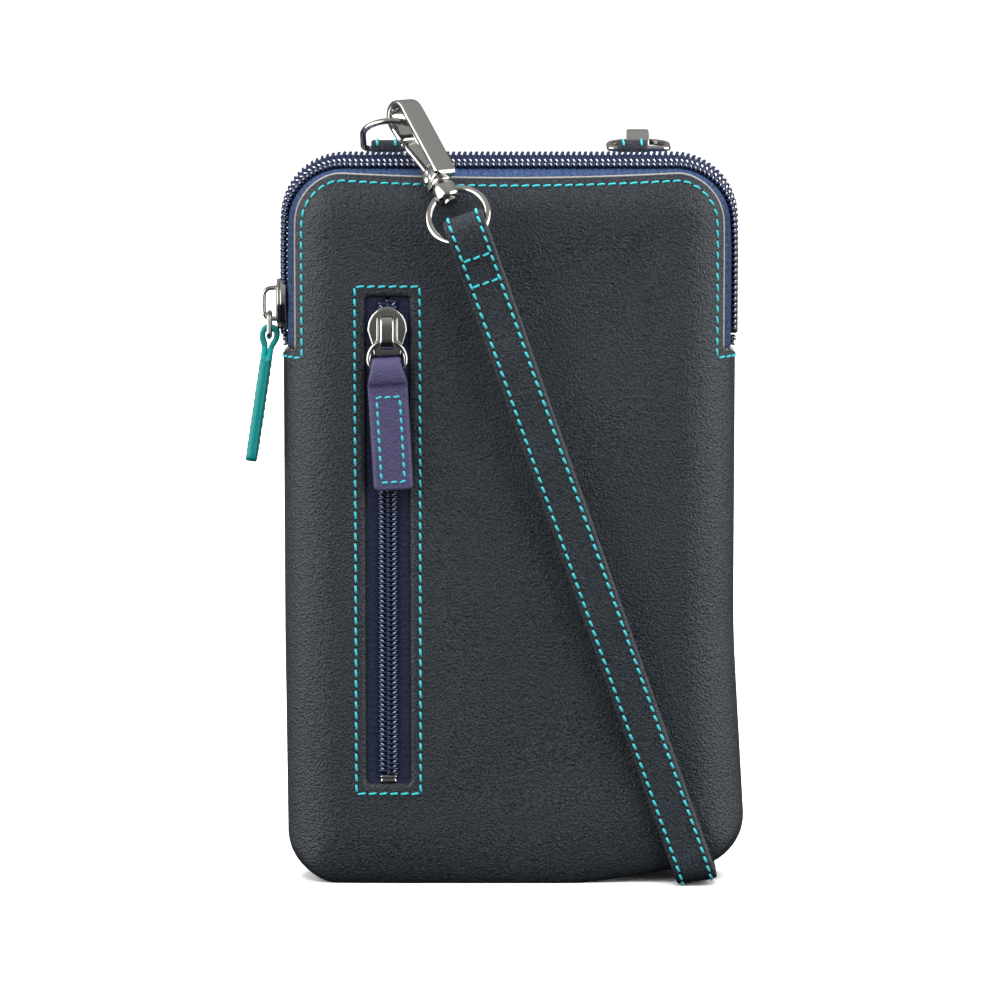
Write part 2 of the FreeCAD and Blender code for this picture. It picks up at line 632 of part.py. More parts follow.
def hook_body():
    """The hook on its own frame: barrel round Z, spine at negative Y, curl on top, tip at positive Y."""
    half = HOOK_WIDTH / 2
    barrel_top = BARREL_Z + BARREL_LENGTH
    barrel = rod(vec(0, 0, BARREL_Z), vec(0, 0, barrel_top), BARREL_RADIUS)
    spine = box(-half, half, -HOOK_OUTER, -HOOK_INNER, BARREL_Z + SPINE_LIFT, CURL_Z)
    neck = box(-half, half, -HOOK_OUTER, 0, BARREL_Z + SPINE_LIFT, barrel_top)
    curl = rod(vec(-half, 0, CURL_Z), vec(half, 0, CURL_Z), HOOK_OUTER)
    curl = curl.cut(rod(vec(-FAR, 0, CURL_Z), vec(FAR, 0, CURL_Z), HOOK_INNER))
    curl = curl.cut(box(-FAR, FAR, -FAR, FAR, CURL_Z - FAR, CURL_Z))
    tip = box(-half, half, HOOK_INNER, HOOK_OUTER, HOOK_TIP_Z, CURL_Z)
    cheeks = []
    for side in (-1, 1):
        inner = side * (GATE_WIDTH / 2 + RUN_GAP)
        outer = side * (GATE_WIDTH / 2 + RUN_GAP + CHEEK_THICK)
        cheeks.append(box(min(inner, outer), max(inner, outer), -CHEEK_BACK, GATE_PIN_Y + GATE_EYE,
                          BARREL_Z, CHEEK_TOP))
    pin = rod(vec(-FAR, GATE_PIN_Y, GATE_PIN_Z), vec(FAR, GATE_PIN_Y, GATE_PIN_Z), GATE_PIN_RADIUS)
    post = rod(vec(0, 0, 0), vec(0, 0, BARREL_Z + POST_DEPTH), POST_RADIUS)
    room = GATE_WIDTH / 2 + RUN_GAP
    slot = box(-room, room, GATE_PIN_Y - GATE_EYE - GATE_ROOM, FAR,
               GATE_PIN_Z - GATE_EYE - RUN_GAP, HOOK_TIP_Z)
    body = barrel.fuse([spine, neck, curl, tip] + cheeks)
    return body.cut(slot).cut(pin).cut(post).removeSplitter()


def gate():
    """The sprung gate: a flat bar from its pin up to the inside of the hook's tip."""
    half = GATE_WIDTH / 2
    pivot = vec(0, GATE_PIN_Y, GATE_PIN_Z)
    reach = X_AXIS * half
    bar = box(-half, half, GATE_PIN_Y - GATE_THICK / 2, GATE_PIN_Y + GATE_THICK / 2, GATE_PIN_Z,
              GATE_PIN_Z + GATE_LENGTH * math.cos(math.radians(GATE_LEAN)) - GATE_THICK / 2)
    bar.rotate(pivot, X_AXIS, -GATE_LEAN)
    eye = rod(pivot - reach, pivot + reach, GATE_EYE)
    hole = rod(pivot - reach * 2, pivot + reach * 2, GATE_PIN_RADIUS + GATE_PIN_FIT)
    return bar.fuse(eye).cut(hole).removeSplitter()


def gate_pin():
    reach = X_AXIS * (GATE_WIDTH / 2 + RUN_GAP + CHEEK_THICK)
    pivot = vec(0, GATE_PIN_Y, GATE_PIN_Z)
    return rod(pivot - reach, pivot + reach, GATE_PIN_RADIUS)


def unit(v):
    out = FreeCAD.Vector(v)
    out.normalize()
    return out


def tangent_arc(start, corner, end):
    """The arc that leaves start towards the corner and comes from it to end, both as far from it."""
    middle = (start + end) * 0.5
    half = (end - start).Length / 2
    rise = corner - middle
    bulge = half * math.tan(math.atan2(rise.Length, half) / 2)
    return Part.Arc(start, middle + unit(rise) * bulge, end).toShape()


def biarc(start, start_way, end, end_way):
    """Two arcs from start to end, tangent to each other and to the unit directions at both ends."""
    span = end - start
    reach = span.dot(start_way + end_way)
    spread = 2 * (1 - start_way.dot(end_way))
    arm = (math.sqrt(reach ** 2 + spread * span.dot(span)) - reach) / spread
    first = start + start_way * arm
    second = end - end_way * arm
    meet = (first + second) * 0.5
    return [tangent_arc(start, first, meet), tangent_arc(meet, second, end)]


def coil_station(turn, radius, pitch):
    """The place and the direction of a helix round Z after so many turns."""
    angle = 2 * math.pi * turn
    place = vec(radius * math.cos(angle), radius * math.sin(angle), pitch * turn)
    way = vec(-radius * math.sin(angle), radius * math.cos(angle), pitch / (2 * math.pi))
    return place, unit(way)


def gate_spring():
    """A small coil spring from the hook's back wall to the inside of the gate, just above the barrel."""
    start = -HOOK_INNER + RUN_GAP + SPRING_WIRE / 2
    gate_y = GATE_PIN_Y + SPRING_RISE * math.tan(math.radians(GATE_LEAN)) - GATE_THICK / 2
    end = gate_y - FIT - SPRING_WIRE
    pitch = (end - start) / SPRING_TURNS
    stations = [coil_station(half / 2, SPRING_RADIUS, pitch) for half in range(2 * SPRING_TURNS + 1)]
    edges = []
    for (place, way), (next_place, next_way) in zip(stations, stations[1:]):
        edges += biarc(place, way, next_place, next_way)
    first_place, first_way = stations[0]
    profile = Part.Wire(Part.makeCircle(SPRING_WIRE / 2, first_place, first_way))
    coil = Part.Wire(edges).makePipeShell([profile], True, False)
    return placed(coil, vec(0, start, GATE_PIN_Z + SPRING_RISE), X_AXIS, Y_AXIS)


def strap_frame(lean):
    """The strap's directions on the upright plane: up along the strap, and across its width."""
    angle = math.radians(lean)
    return vec(-math.sin(angle), 0, math.cos(angle)), vec(math.cos(angle), 0, math.sin(angle))


def strap_foot():
    """The middle of the strap's width where it turns under the bag, on the bag's middle plane."""
    rise = STRAP_WIDTH / 2 * math.sin(math.radians(STRAP_FOOT_TWIST))
    return vec(HALF_WIDTH - STRAP_FOOT_SIDE, 0, STRAP_FLOOR_GAP + STRAP_THICK / 2 + rise)


def eye_drop():
    """How far below a strap ring's centre the strap's loop holds its wire."""
    sag = STRAP_RING_RADIUS - math.sqrt(STRAP_RING_RADIUS ** 2 - STRAP_WIDTH ** 2 / 4)
    return STRAP_RING_RADIUS - sag / 2


def strap_lean(eye):
    """The lean of the front stretch, in degrees, from its foot to the eye of the left strap ring."""
    foot = strap_foot()
    return math.degrees(math.atan2(foot.x - eye.x, eye.z - foot.z))


def clasp_frames():
    """Where each clasp hangs: its strap ring's centre, its X and Z directions and the turn of its hook."""
    bow = RING_LENGTH - RING_RADIUS + math.sqrt(RING_RADIUS ** 2 - LEFT_HOLD_OFFSET ** 2)
    hold_x = -TAB_X + RING_SLIDE + LEFT_HOLD_OFFSET
    hold = vec(hold_x, TAB_Y, TAB_Z) + ring_direction(LEFT_RING_TILT) * bow
    left_at = vec(LEFT_CLASP_SIDE - TAB_X, -HALF_DEPTH - LEFT_CLASP_FRONT, BAG_HEIGHT - LEFT_CLASP_DROP)
    left_axis = unit(hold - left_at)
    across = strap_frame(strap_lean(left_at - left_axis * eye_drop()))[1]
    left_x = unit(across - left_axis * across.dot(left_axis))
    right_hold = vec(TAB_X + RING_SLIDE, TAB_Y, TAB_Z) + ring_direction(RIGHT_RING_TILT) * RING_LENGTH
    drop = CURL_Z + HOOK_INNER - RING_WIRE / 2 - HANG_SLACK
    return {
        "left": (left_at, left_x, left_axis, LEFT_HOOK_SPIN),
        "right": (right_hold - Z_AXIS * drop, X_AXIS, Z_AXIS, 0.0),
    }


def clasps():
    for name, (at, x_dir, z_dir, spin) in clasp_frames().items():
        pieces = {"strap_ring": strap_ring(), "swivel_post": swivel_post()}
        turned = {"hook": hook_body(), "gate": gate(), "gate_pin": gate_pin(), "gate_spring": gate_spring()}
        for piece in turned.values():
            piece.rotate(vec(0, 0, 0), Z_AXIS, spin)
        for node, piece in {**pieces, **turned}.items():
            save(placed(piece, at, x_dir, z_dir), name + "_" + node)
        print(name, "clasp at", [round(c, 3) for c in at], "axis", [round(c, 4) for c in z_dir],
              "x", [round(c, 4) for c in x_dir])


def routed(points, radii):
    """Stations of a route of straight runs and tangent arcs, as (point, tangent, place among the runs)."""
    stations = [(points[0], unit(points[1] - points[0]), 0.0)]
    for i in range(1, len(points) - 1):
        back = unit(points[i - 1] - points[i])
        ahead = unit(points[i + 1] - points[i])
        half_angle = back.getAngle(ahead) / 2
        reach = radii[i] / math.tan(half_angle)
        bisector = unit(back + ahead)
        centre = points[i] + bisector * (radii[i] / math.sin(half_angle))
        start = points[i] + back * reach - centre
        end = points[i] + ahead * reach - centre
        sweep = start.getAngle(end)
        for step in range(TURN_STEPS + 1):
            share = step / TURN_STEPS
            arm = start * (math.sin((1 - share) * sweep) / math.sin(sweep)) + end * (
                math.sin(share * sweep) / math.sin(sweep))
            slope = end * math.cos(share * sweep) - start * math.cos((1 - share) * sweep)
            stations.append((centre + arm, unit(slope), i - 1 + share))
    stations.append((points[-1], unit(points[-1] - points[-2]), len(points) - 2.0))
    return stations


def strap_band(points, radii, leans):
    """A flat strap along a route: one rectangle per station, lofted; leans turns the width of each run."""
    wires = []
    length = 0.0
    stations = routed(points, radii)
    for index, (point, tangent, run) in enumerate(stations):
        low = min(int(run), len(leans) - 1)
        high = min(low + 1, len(leans) - 1)
        lean = leans[low] + (leans[high] - leans[low]) * (run - low)
        across = strap_frame(lean)[1]
        across = unit(across - tangent * across.dot(tangent))
        normal = tangent.cross(across)
        half_w = across * (STRAP_WIDTH / 2)
        half_t = normal * (STRAP_THICK / 2)
        corners = [point - half_w - half_t, point + half_w - half_t, point + half_w + half_t,
                   point - half_w + half_t]
        wires.append(Part.makePolygon(corners + [corners[0]]))
        if index:
            length += (point - stations[index - 1][0]).Length
    return Part.makeLoft(wires, True, True), length, stations


def end_loop(at, along, across):
    """The folded loop at a strap's end: a rounded eye round the ring wire that tapers down to the strap."""
    bore = STRAP_RING_WIRE / 2 + LOOP_ROOM
    outer = bore + LOOP_LEATHER
    top = LOOP_DEPTH + outer
    thin = STRAP_THICK / 2
    corners = [
        (-outer, top, outer * LOOP_FULL), (-outer, 0, LOOP_SHOULDER), (-thin, -LOOP_TAPER, LOOP_END_ROUND),
        (thin, -LOOP_TAPER, LOOP_END_ROUND), (outer, 0, LOOP_SHOULDER), (outer, top, outer * LOOP_FULL),
    ]
    bend = bore * LOOP_FULL
    eye = LOOP_DEPTH + bore
    hole = [(-bore, eye, bend), (-bore, -bore, bend), (bore, -bore, bend), (bore, eye, bend)]
    normal = along.cross(across)
    shapes = []
    for outline, grow in ((corners, 0.0), (hole, 1.0)):
        edge = at - across * (STRAP_WIDTH / 2 + grow)
        wire = rounded_wire(outline, lambda a, b: edge + normal * a + along * b)
        shapes.append(Part.Face(wire).extrude(across * (STRAP_WIDTH + 2 * grow)))
    return shapes[0].cut(shapes[1])


def strap():
    frames = clasp_frames()
    foot = strap_foot()
    left_eye = frames["left"][0] - frames["left"][2] * eye_drop()
    lean = strap_lean(left_eye)
    up, across = strap_frame(lean)
    loop_at = left_eye - up * (LOOP_DEPTH / 2)
    front_top = loop_at - up * LOOP_TAPER
    front_foot = foot - Y_AXIS * (HALF_DEPTH + STRAP_FRONT_GAP)
    back_foot = foot + Y_AXIS * HANK_FIRST_Y
    back_join = back_foot + up * (HANK_FOOT + JOIN_RISE)
    front_points = [front_top, front_foot, back_foot, back_join]
    front_radii = [0, FOOT_TURN, FOOT_TURN, 0]
    front_leans = [lean, STRAP_FOOT_TWIST, lean]
    band, front_length, _ = strap_band(front_points, front_radii, front_leans)
    print("front stretch", round(front_length, 1), "mm, volume over section times length",
          round(band.Volume / (front_length * STRAP_WIDTH * STRAP_THICK), 4))
    loop = end_loop(loop_at, up, across)
    save(band.fuse(loop).removeSplitter(), "strap_front")

    right_eye = frames["right"][0] - frames["right"][2] * eye_drop()
    points = [back_join]
    radii = [0]
    leans = []
    y = HANK_FIRST_Y
    for run in range(HANK_TURNS):
        level = HANK_TOP if run % 2 == 0 else HANK_FOOT
        for step_y in (y, y + HANK_PITCH):
            points.append(foot + up * level + Y_AXIS * step_y)
            radii.append(HANK_PITCH / 2 - NEAR)
            leans.append(lean)
        y += HANK_PITCH
    last_low = foot + up * HANK_FOOT + Y_AXIS * y
    last_up = foot + up * HANK_FOOT + Y_AXIS * (y + HANK_LAST_PITCH)
    last_way = unit(right_eye - last_up)
    end_at = right_eye - last_way * (LOOP_DEPTH / 2)
    points += [last_low, last_up, end_at - last_way * LOOP_TAPER]
    radii += [LAST_TURN, LAST_TURN, 0]
    last_lean = math.degrees(math.atan2(-last_way.x, last_way.z))
    leans += [lean, (lean + last_lean) / 2, last_lean]
    hank, hank_length, hank_stations = strap_band(points, radii, leans)
    print("hank", round(hank_length, 1), "mm, volume over section times length",
          round(hank.Volume / (hank_length * STRAP_WIDTH * STRAP_THICK), 4),
          "radii", [round(r, 2) for r in radii])
    last_across = strap_frame(last_lean)[1]
    last_across = unit(last_across - last_way * last_across.dot(last_way))
    end = end_loop(end_at, last_way, last_across)
    save(hank.fuse(end).removeSplitter(), "strap_hank")
    ends = 2 * (LOOP_TAPER + LOOP_DEPTH / 2)
    print("strap length between the rings", round(front_length + hank_length + ends, 1))
    for point in front_points + points:
        print("route", [round(c, 2) for c in point])
    least_gap(hank_stations)
    tie(foot, up, across)


def least_gap(stations):
    """The least distance between the hank's layers, taken on points along the middle of the strap."""
    points = []
    along = 0.0
    for (start, _, _), (end, _, _) in zip(stations, stations[1:]):
        run = end - start
        step_count = max(1, int(run.Length / STRAP_THICK))
        for step in range(step_count):
            share = step / step_count
            points.append((start + run * share, along + run.Length * share))
        along += run.Length
    least = FAR
    for i, (point, reach) in enumerate(points):
        for other, other_reach in points[i + 1:]:
            if other_reach - reach > 4 * HANK_PITCH:
                least = min(least, (other - point).Length)
    print("least gap of the hank to itself", round(least - STRAP_THICK, 2), "mm")


def tie(foot, up, across):
    """A narrow band round the hank's slanted runs."""
    half_w = STRAP_WIDTH / 2 + TIE_CLEAR
    y0 = HANK_FIRST_Y - STRAP_THICK / 2 - TIE_CLEAR
    y1 = HANK_FIRST_Y + HANK_TURNS * HANK_PITCH + STRAP_THICK / 2 + TIE_CLEAR
    base = foot + up * TIE_AT
    outer = Part.makeBox(2 * (half_w + TIE_THICK), y1 - y0 + 2 * TIE_THICK, TIE_WIDTH,
                         vec(-half_w - TIE_THICK, y0 - TIE_THICK, 0))
    inner = Part.makeBox(2 * half_w, y1 - y0, TIE_WIDTH, vec(-half_w, y0, 0))
    save(placed(outer.cut(inner), base, across, up), "strap_tie")


os.makedirs("parts", exist_ok=True)
bag_walls()
main_zip()
main_slider_group()
front_pocket()
pocket_slider_group()
d_rings()
clasps()
strap()
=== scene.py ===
# %% [markdown]
# A slim leather phone pouch: two soft panels, a zip that arches over the top, a second zip in the
# front, and a narrow strap on two snap hooks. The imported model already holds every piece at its
# real size and place, so this lesson dresses those pieces: each soft or moulded form is worked out
# again as a smooth surface, and each surface gets the finish of what it is made of.

# %% Load the frame
import json
import math
import bpy
import numpy as np
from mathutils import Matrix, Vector
from mathutils.geometry import delaunay_2d_cdt


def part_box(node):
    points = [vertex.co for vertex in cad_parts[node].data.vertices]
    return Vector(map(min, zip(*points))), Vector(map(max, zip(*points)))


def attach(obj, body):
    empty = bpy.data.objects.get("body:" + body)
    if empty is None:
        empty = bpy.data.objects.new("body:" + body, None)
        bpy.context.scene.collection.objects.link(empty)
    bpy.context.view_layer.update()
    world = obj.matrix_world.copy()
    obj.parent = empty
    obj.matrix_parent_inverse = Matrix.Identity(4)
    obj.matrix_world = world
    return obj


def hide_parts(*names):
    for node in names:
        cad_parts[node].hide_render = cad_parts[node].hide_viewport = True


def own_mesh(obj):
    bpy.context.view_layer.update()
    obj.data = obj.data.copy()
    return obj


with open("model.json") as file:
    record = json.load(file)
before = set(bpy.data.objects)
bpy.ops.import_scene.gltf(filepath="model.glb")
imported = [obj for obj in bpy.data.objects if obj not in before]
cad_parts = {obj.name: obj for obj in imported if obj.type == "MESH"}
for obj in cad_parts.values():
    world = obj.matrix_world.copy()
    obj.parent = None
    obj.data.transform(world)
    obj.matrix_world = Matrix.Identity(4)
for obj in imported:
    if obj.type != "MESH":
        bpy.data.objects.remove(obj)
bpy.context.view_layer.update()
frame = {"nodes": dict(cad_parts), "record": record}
joints = {joint["name"]: joint for joint in frame["record"]["behaviour"]["joints"]}
scene = bpy.context.scene
scene.view_settings.view_transform = "Standard"
MM = 0.001
X_RIGHT, Y_BACK, Z_UP = np.eye(3)

# %% [markdown]
# The photograph looks at the front from a little above, through a long lens. A camera far off with
# a narrow view gives the same flat perspective. Its distance and aim are real lengths; the lens
# follows from the width of the view at the front panel.

# %% Camera
VIEW_WIDTH = 241.1 * MM
CAMERA_AWAY = 1.25
CAMERA_RISE = math.radians(8.0)
AIM = Vector((-3.0 * MM, -12.0 * MM, 96.2 * MM))

camera_data = bpy.data.cameras.new("camera")
camera_data.sensor_width = 36.0
camera_data.lens = camera_data.sensor_width * CAMERA_AWAY / VIEW_WIDTH
camera_data.clip_end = 100.0
camera = bpy.data.objects.new("camera", camera_data)
scene.collection.objects.link(camera)
back_off = Vector((0.0, -math.cos(CAMERA_RISE), math.sin(CAMERA_RISE)))
camera.location = AIM + CAMERA_AWAY * back_off
camera.rotation_euler = (math.pi / 2 - CAMERA_RISE, 0.0, 0.0)
scene.camera = camera
print("camera lens", round(camera_data.lens), "mm")

# %% [markdown]
# Every piece below is a grid of points or a profile carried along a path. These helpers work on
# whole arrays of points. They know nothing about the pouch: the shape is all in the arrays.

# %% Path and profile helpers
def unit(v):
    """Each row divided by its length."""
    return v / np.linalg.norm(v, axis=-1, keepdims=True)


def xyz(*parts):
    """Points from their coordinates, where a single number stands for a whole array."""
    return np.stack(np.broadcast_arrays(*parts), axis=-1)


def round_rect(width, thick, power, count):
    """A rectangle with soft corners: a superellipse, whose power says how square it is."""
    angle = np.linspace(0, 2 * math.pi, count, endpoint=False) + math.pi / count
    c, s = np.cos(angle), np.sin(angle)
    x = np.sign(c) * np.abs(c) ** (2 / power)
    y = np.sign(s) * np.abs(s) ** (2 / power)
    return xyz(x * width / 2, y * thick / 2)


def circle(radius, count):
    """Points round a circle: radius times cosine and sine."""
    angle = np.linspace(0, 2 * math.pi, count, endpoint=False)
    return radius * xyz(np.cos(angle), np.sin(angle))


def band_profile(width, count):
    """A flat band of unit thickness: points crowded towards the edges, where the corners are rounded."""
    x = np.sin(np.linspace(-math.pi / 2, math.pi / 2, count)) * width / 2
    y = 0.5 * (1 - np.abs(2 * x / width) ** 16) ** 0.5 + 0.001
    return np.concatenate([xyz(x, -y), xyz(x[::-1], y[::-1])])


def round_box(half_x, y0, y1, radius, per_corner, per_side):
    """Points round a rectangle with arcs at its corners, from the lower left corner on, as an open list."""
    out = []
    centres = [(-half_x + radius, y0 + radius, 180), (half_x - radius, y0 + radius, 270),
               (half_x - radius, y1 - radius, 0), (-half_x + radius, y1 - radius, 90)]
    for i, (x, y, turn) in enumerate(centres):
        angle = np.radians(np.linspace(turn, turn + 90, per_corner))
        arc = xyz(x + radius * np.cos(angle), y + radius * np.sin(angle))
        next_x, next_y, ahead = centres[(i + 1) % len(centres)]
        ahead = math.radians(ahead)
        reach = np.array([next_x + radius * math.cos(ahead), next_y + radius * math.sin(ahead)])
        share = np.linspace(0, 1, per_side + 2)[1:-1, None]
        out += [arc, arc[-1] * (1 - share) + reach * share]
    return np.concatenate(out)


def lengths(path):
    """The distance along a path at each of its points."""
    return np.concatenate([[0.0], np.cumsum(np.linalg.norm(np.diff(path, axis=0), axis=1))])


def tangents(path, closed=False):
    """The direction of a path at each point, from the points either side of it."""
    if closed:
        return unit(np.roll(path, -1, axis=0) - np.roll(path, 1, axis=0))
    return unit(np.gradient(path, axis=0))


def along(path, values, places):
    """values, given at a path's points, read at the given distances along it."""
    reach = lengths(path)
    return xyz(*[np.interp(places, reach, column) for column in values.T])


def softened(points, rounds):
    """Lines of points drawn smooth: each corner is cut at a quarter, a few times over, with the ends kept."""
    for _ in range(rounds):
        a, b = points[..., :-1, :], points[..., 1:, :]
        cut = np.stack([0.75 * a + 0.25 * b, 0.25 * a + 0.75 * b], axis=-2)
        cut = cut.reshape(*points.shape[:-2], -1, points.shape[-1])
        points = np.concatenate([points[..., :1, :], cut, points[..., -1:, :]], axis=-2)
    return points


def smooth(t):
    """A soft step from 0 to 1."""
    t = np.clip(t, 0, 1)
    return t * t * (3 - 2 * t)


print("five sides of a hexagon of radius 1 measure", round(lengths(circle(1.0, 6))[-1], 3))

# %% [markdown]
# A shape is a pair: its points and its faces. The next helpers make shapes from rings of points, and
# the last one turns a shape into an object that moves with a body and stands for nodes of the model.

# %% Mesh helpers
def grid_faces(rows, cols, wrap_rows=False, wrap_cols=False):
    """Quads that join neighbouring points of a rows by cols grid, numbered row by row."""
    r = np.arange(rows if wrap_rows else rows - 1)
    c = np.arange(cols if wrap_cols else cols - 1)
    r, c = np.meshgrid(r, c, indexing="ij")
    r2, c2 = (r + 1) % rows, (c + 1) % cols
    return xyz(r * cols + c, r * cols + c2, r2 * cols + c2, r2 * cols + c).reshape(-1, 4)


def scaled(profile, wide, thick=1.0):
    """A flat profile drawn to its own width and thickness at each place along a path."""
    return profile * xyz(wide, thick)[:, None]


def carry(profile, path, side, up):
    """Put a flat profile at each point of a path: point + profile x along side + profile y along up."""
    side, up = np.broadcast_to(side, path.shape), np.broadcast_to(up, path.shape)
    profile = np.broadcast_to(profile, (len(path),) + np.shape(profile)[-2:])
    return path[:, None] + profile[..., :1] * side[:, None] + profile[..., 1:] * up[:, None]


def skinned(rings, closed=False):
    """A skin over rings of points, rings by points by 3; an open one gets a flat cap at each end."""
    rows, cols = rings.shape[:2]
    faces = grid_faces(rows, cols, closed, True).tolist()
    if not closed:
        faces += [list(range(cols))[::-1], list(range((rows - 1) * cols, rows * cols))]
    return rings.reshape(-1, 3), faces


def rod(profile, path, side=X_RIGHT, up=Y_BACK):
    """A flat profile carried along a path and skinned."""
    return skinned(carry(profile, path, side, up))


def bent_band(profile, line, wide):
    """A profile along a bent line: its x lies along wide, and its y square to wide and to the line."""
    return rod(profile, line, wide, unit(np.cross(tangents(line), wide)))


def small_rod(rings):
    """Seven rings of six points as a closed rod of quads, for shapes that are copied many times."""
    caps = [[5, 4, 3, 0], [3, 2, 1, 0], [36, 39, 40, 41], [36, 37, 38, 39]]
    return rings.reshape(-1, 3), np.concatenate([grid_faces(7, 6, wrap_cols=True), caps])


def copies(shape, centres, x_dirs, y_dirs, z_dirs):
    """Many copies of one small shape: its x, y and z are laid along the given directions at each centre."""
    base, faces = shape
    x, y, z = (np.broadcast_to(way, centres.shape)[:, None] for way in (x_dirs, y_dirs, z_dirs))
    points = centres[:, None] + base[:, :1] * x + base[:, 1:2] * y + base[:, 2:] * z
    shift = np.arange(len(centres))[:, None, None] * len(base)
    return points.reshape(-1, 3), (faces + shift).reshape(-1, 4)


def joined(shapes):
    """Several shapes as one."""
    shift = np.cumsum([0] + [len(points) for points, _ in shapes[:-1]]).tolist()
    faces = [[i + first for i in face] for (_, shape), first in zip(shapes, shift) for face in shape]
    return np.concatenate([points for points, _ in shapes]), faces


def placed(shape, origin, axes):
    """A shape moved from its own frame to an origin and three axes."""
    return origin + shape[0] @ np.array(axes), shape[1]


def faces_out(mesh):
    """Turn the faces outwards: the sum of centre . normal x area over a closed shape is three volumes."""
    sizes = {"center": 3, "normal": 3, "area": 1}
    read = {key: np.empty(size * len(mesh.polygons)) for key, size in sizes.items()}
    for key, values in read.items():
        mesh.polygons.foreach_get(key, values)
    centre = read["center"].reshape(-1, 3)
    facing = ((centre - centre.mean(axis=0)) * read["normal"].reshape(-1, 3)).sum(axis=1)
    if (facing * read["area"]).sum() < 0:
        mesh.flip_normals()


def piece(name, shape, material, slot, body, *nodes, uv=None):
    """A shape in mm as one object at the origin, on a body and in place of nodes; uv has a row per point."""
    points, faces = shape
    mesh = bpy.data.meshes.new(name)
    mesh.from_pydata((points.reshape(-1, 3) * MM).tolist(), [], faces)
    if uv is not None:
        loops = np.empty(len(mesh.loops), dtype=np.int32)
        mesh.loops.foreach_get("vertex_index", loops)
        layer = mesh.uv_layers.new(name="along")
        layer.data.foreach_set("uv", (uv.reshape(-1, 2) * MM)[loops].ravel())
    faces_out(mesh)
    mesh.polygons.foreach_set("use_smooth", np.full(len(mesh.polygons), True))
    mesh.materials.append(material)
    mesh.update()
    made = bpy.data.objects.new(name, mesh)
    scene.collection.objects.link(made)
    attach(made, body)
    if nodes:
        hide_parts(*nodes)
    return made


print("a closed grid of 3 by 4 points has", len(grid_faces(3, 4, True, True)), "faces")

# %% [markdown]
# Finishes come next. Each material starts from what the real surface is, and its pattern sizes are
# real millimetres turned into texture scale. Colours are written as they look on a screen and are
# turned to linear light by one function; one more function adds a node with its settings and links.

# %% Material helpers
def linear(code):
    """An sRGB hex colour as linear RGBA."""
    s = np.array([int(code[i:i + 2], 16) for i in (1, 3, 5)]) / 255
    rgb = np.where(s <= 0.04045, s / 12.92, ((s + 0.055) / 1.055) ** 2.4)
    return (*rgb.tolist(), 1.0)


def feed(node, inputs):
    """Give a node's inputs plain values, or links where a value is another node's output."""
    for key, value in inputs.items():
        if isinstance(value, bpy.types.NodeSocket):
            node.id_data.links.new(value, node.inputs[key])
        else:
            node.inputs[key].default_value = value


def add(tree, kind, inputs=None, **settings):
    """A new node with its settings, inputs and links; returns its outputs."""
    node = tree.nodes.new(kind)
    for key, value in settings.items():
        setattr(node, key, value)
    feed(node, inputs or {})
    return node.outputs


def per_metre(millimetres):
    """Texture scale that repeats every so many millimetres."""
    return 1000.0 / millimetres


def new_material(name):
    """A material, its node tree and its principled shader."""
    made = bpy.data.materials.new(name)
    made.use_nodes = True
    return made, made.node_tree, made.node_tree.nodes["Principled BSDF"]


print("mid grey in linear light:", round(linear("#808080")[0], 3))

# %% [markdown]
# The hide is full-grain cowhide, dyed through and lightly finished: a fine pebble of creases under
# half a millimetre across, a soft broad sheen, and slow patches where the finish is worn or pressed.
# The grain is drawn at 0.55 mm, a little coarser than life, so that it still shows in the picture.

# %% Leather
GRAIN = 0.55
PORE = 0.4
PATCH = 22.0
PORE_LOW = 0.38
PORE_HIGH = 0.62
GRAIN_DEEP = 0.2 * MM
GLOSS_SPREAD = 0.06


def leather(name, dark, light, roughness, relief, grain_shade=0.5):
    """Dyed leather: cell creases and pores as bump, pores and slow patches in colour, patches in gloss."""
    made, tree, shader = new_material(name)
    place = add(tree, "ShaderNodeTexCoord")["Object"]
    patch = add(tree, "ShaderNodeTexNoise", {"Vector": place, "Scale": per_metre(PATCH),
                                             "Detail": 3.0})["Fac"]
    pores = add(tree, "ShaderNodeTexNoise", {"Vector": place, "Scale": per_metre(PORE),
                                             "Detail": 2.0})["Fac"]
    cells = add(tree, "ShaderNodeTexVoronoi", {"Vector": place, "Scale": per_metre(GRAIN)},
                feature="SMOOTH_F1")["Distance"]
    speckle = add(tree, "ShaderNodeMapRange", {"Value": pores, "From Min": PORE_LOW,
                                               "From Max": PORE_HIGH})["Result"]
    shade = add(tree, "ShaderNodeMix", {"Factor": grain_shade, "A": patch, "B": speckle})["Result"]
    tint = add(tree, "ShaderNodeMix", {"Factor": shade, "A": linear(dark), "B": linear(light)},
               data_type="RGBA")["Result"]
    gloss = add(tree, "ShaderNodeMapRange", {"Value": patch, "To Min": roughness - GLOSS_SPREAD,
                                             "To Max": roughness + GLOSS_SPREAD})["Result"]
    fine = add(tree, "ShaderNodeBump", {"Height": pores, "Strength": relief,
                                        "Distance": GRAIN_DEEP})["Normal"]
    pebble = add(tree, "ShaderNodeBump", {"Height": cells, "Strength": relief, "Distance": GRAIN_DEEP,
                                          "Normal": fine})["Normal"]
    feed(shader, {"Base Color": tint, "Roughness": gloss, "Normal": pebble, "IOR": 1.5,
                  "Specular IOR Level": 0.42})
    return made


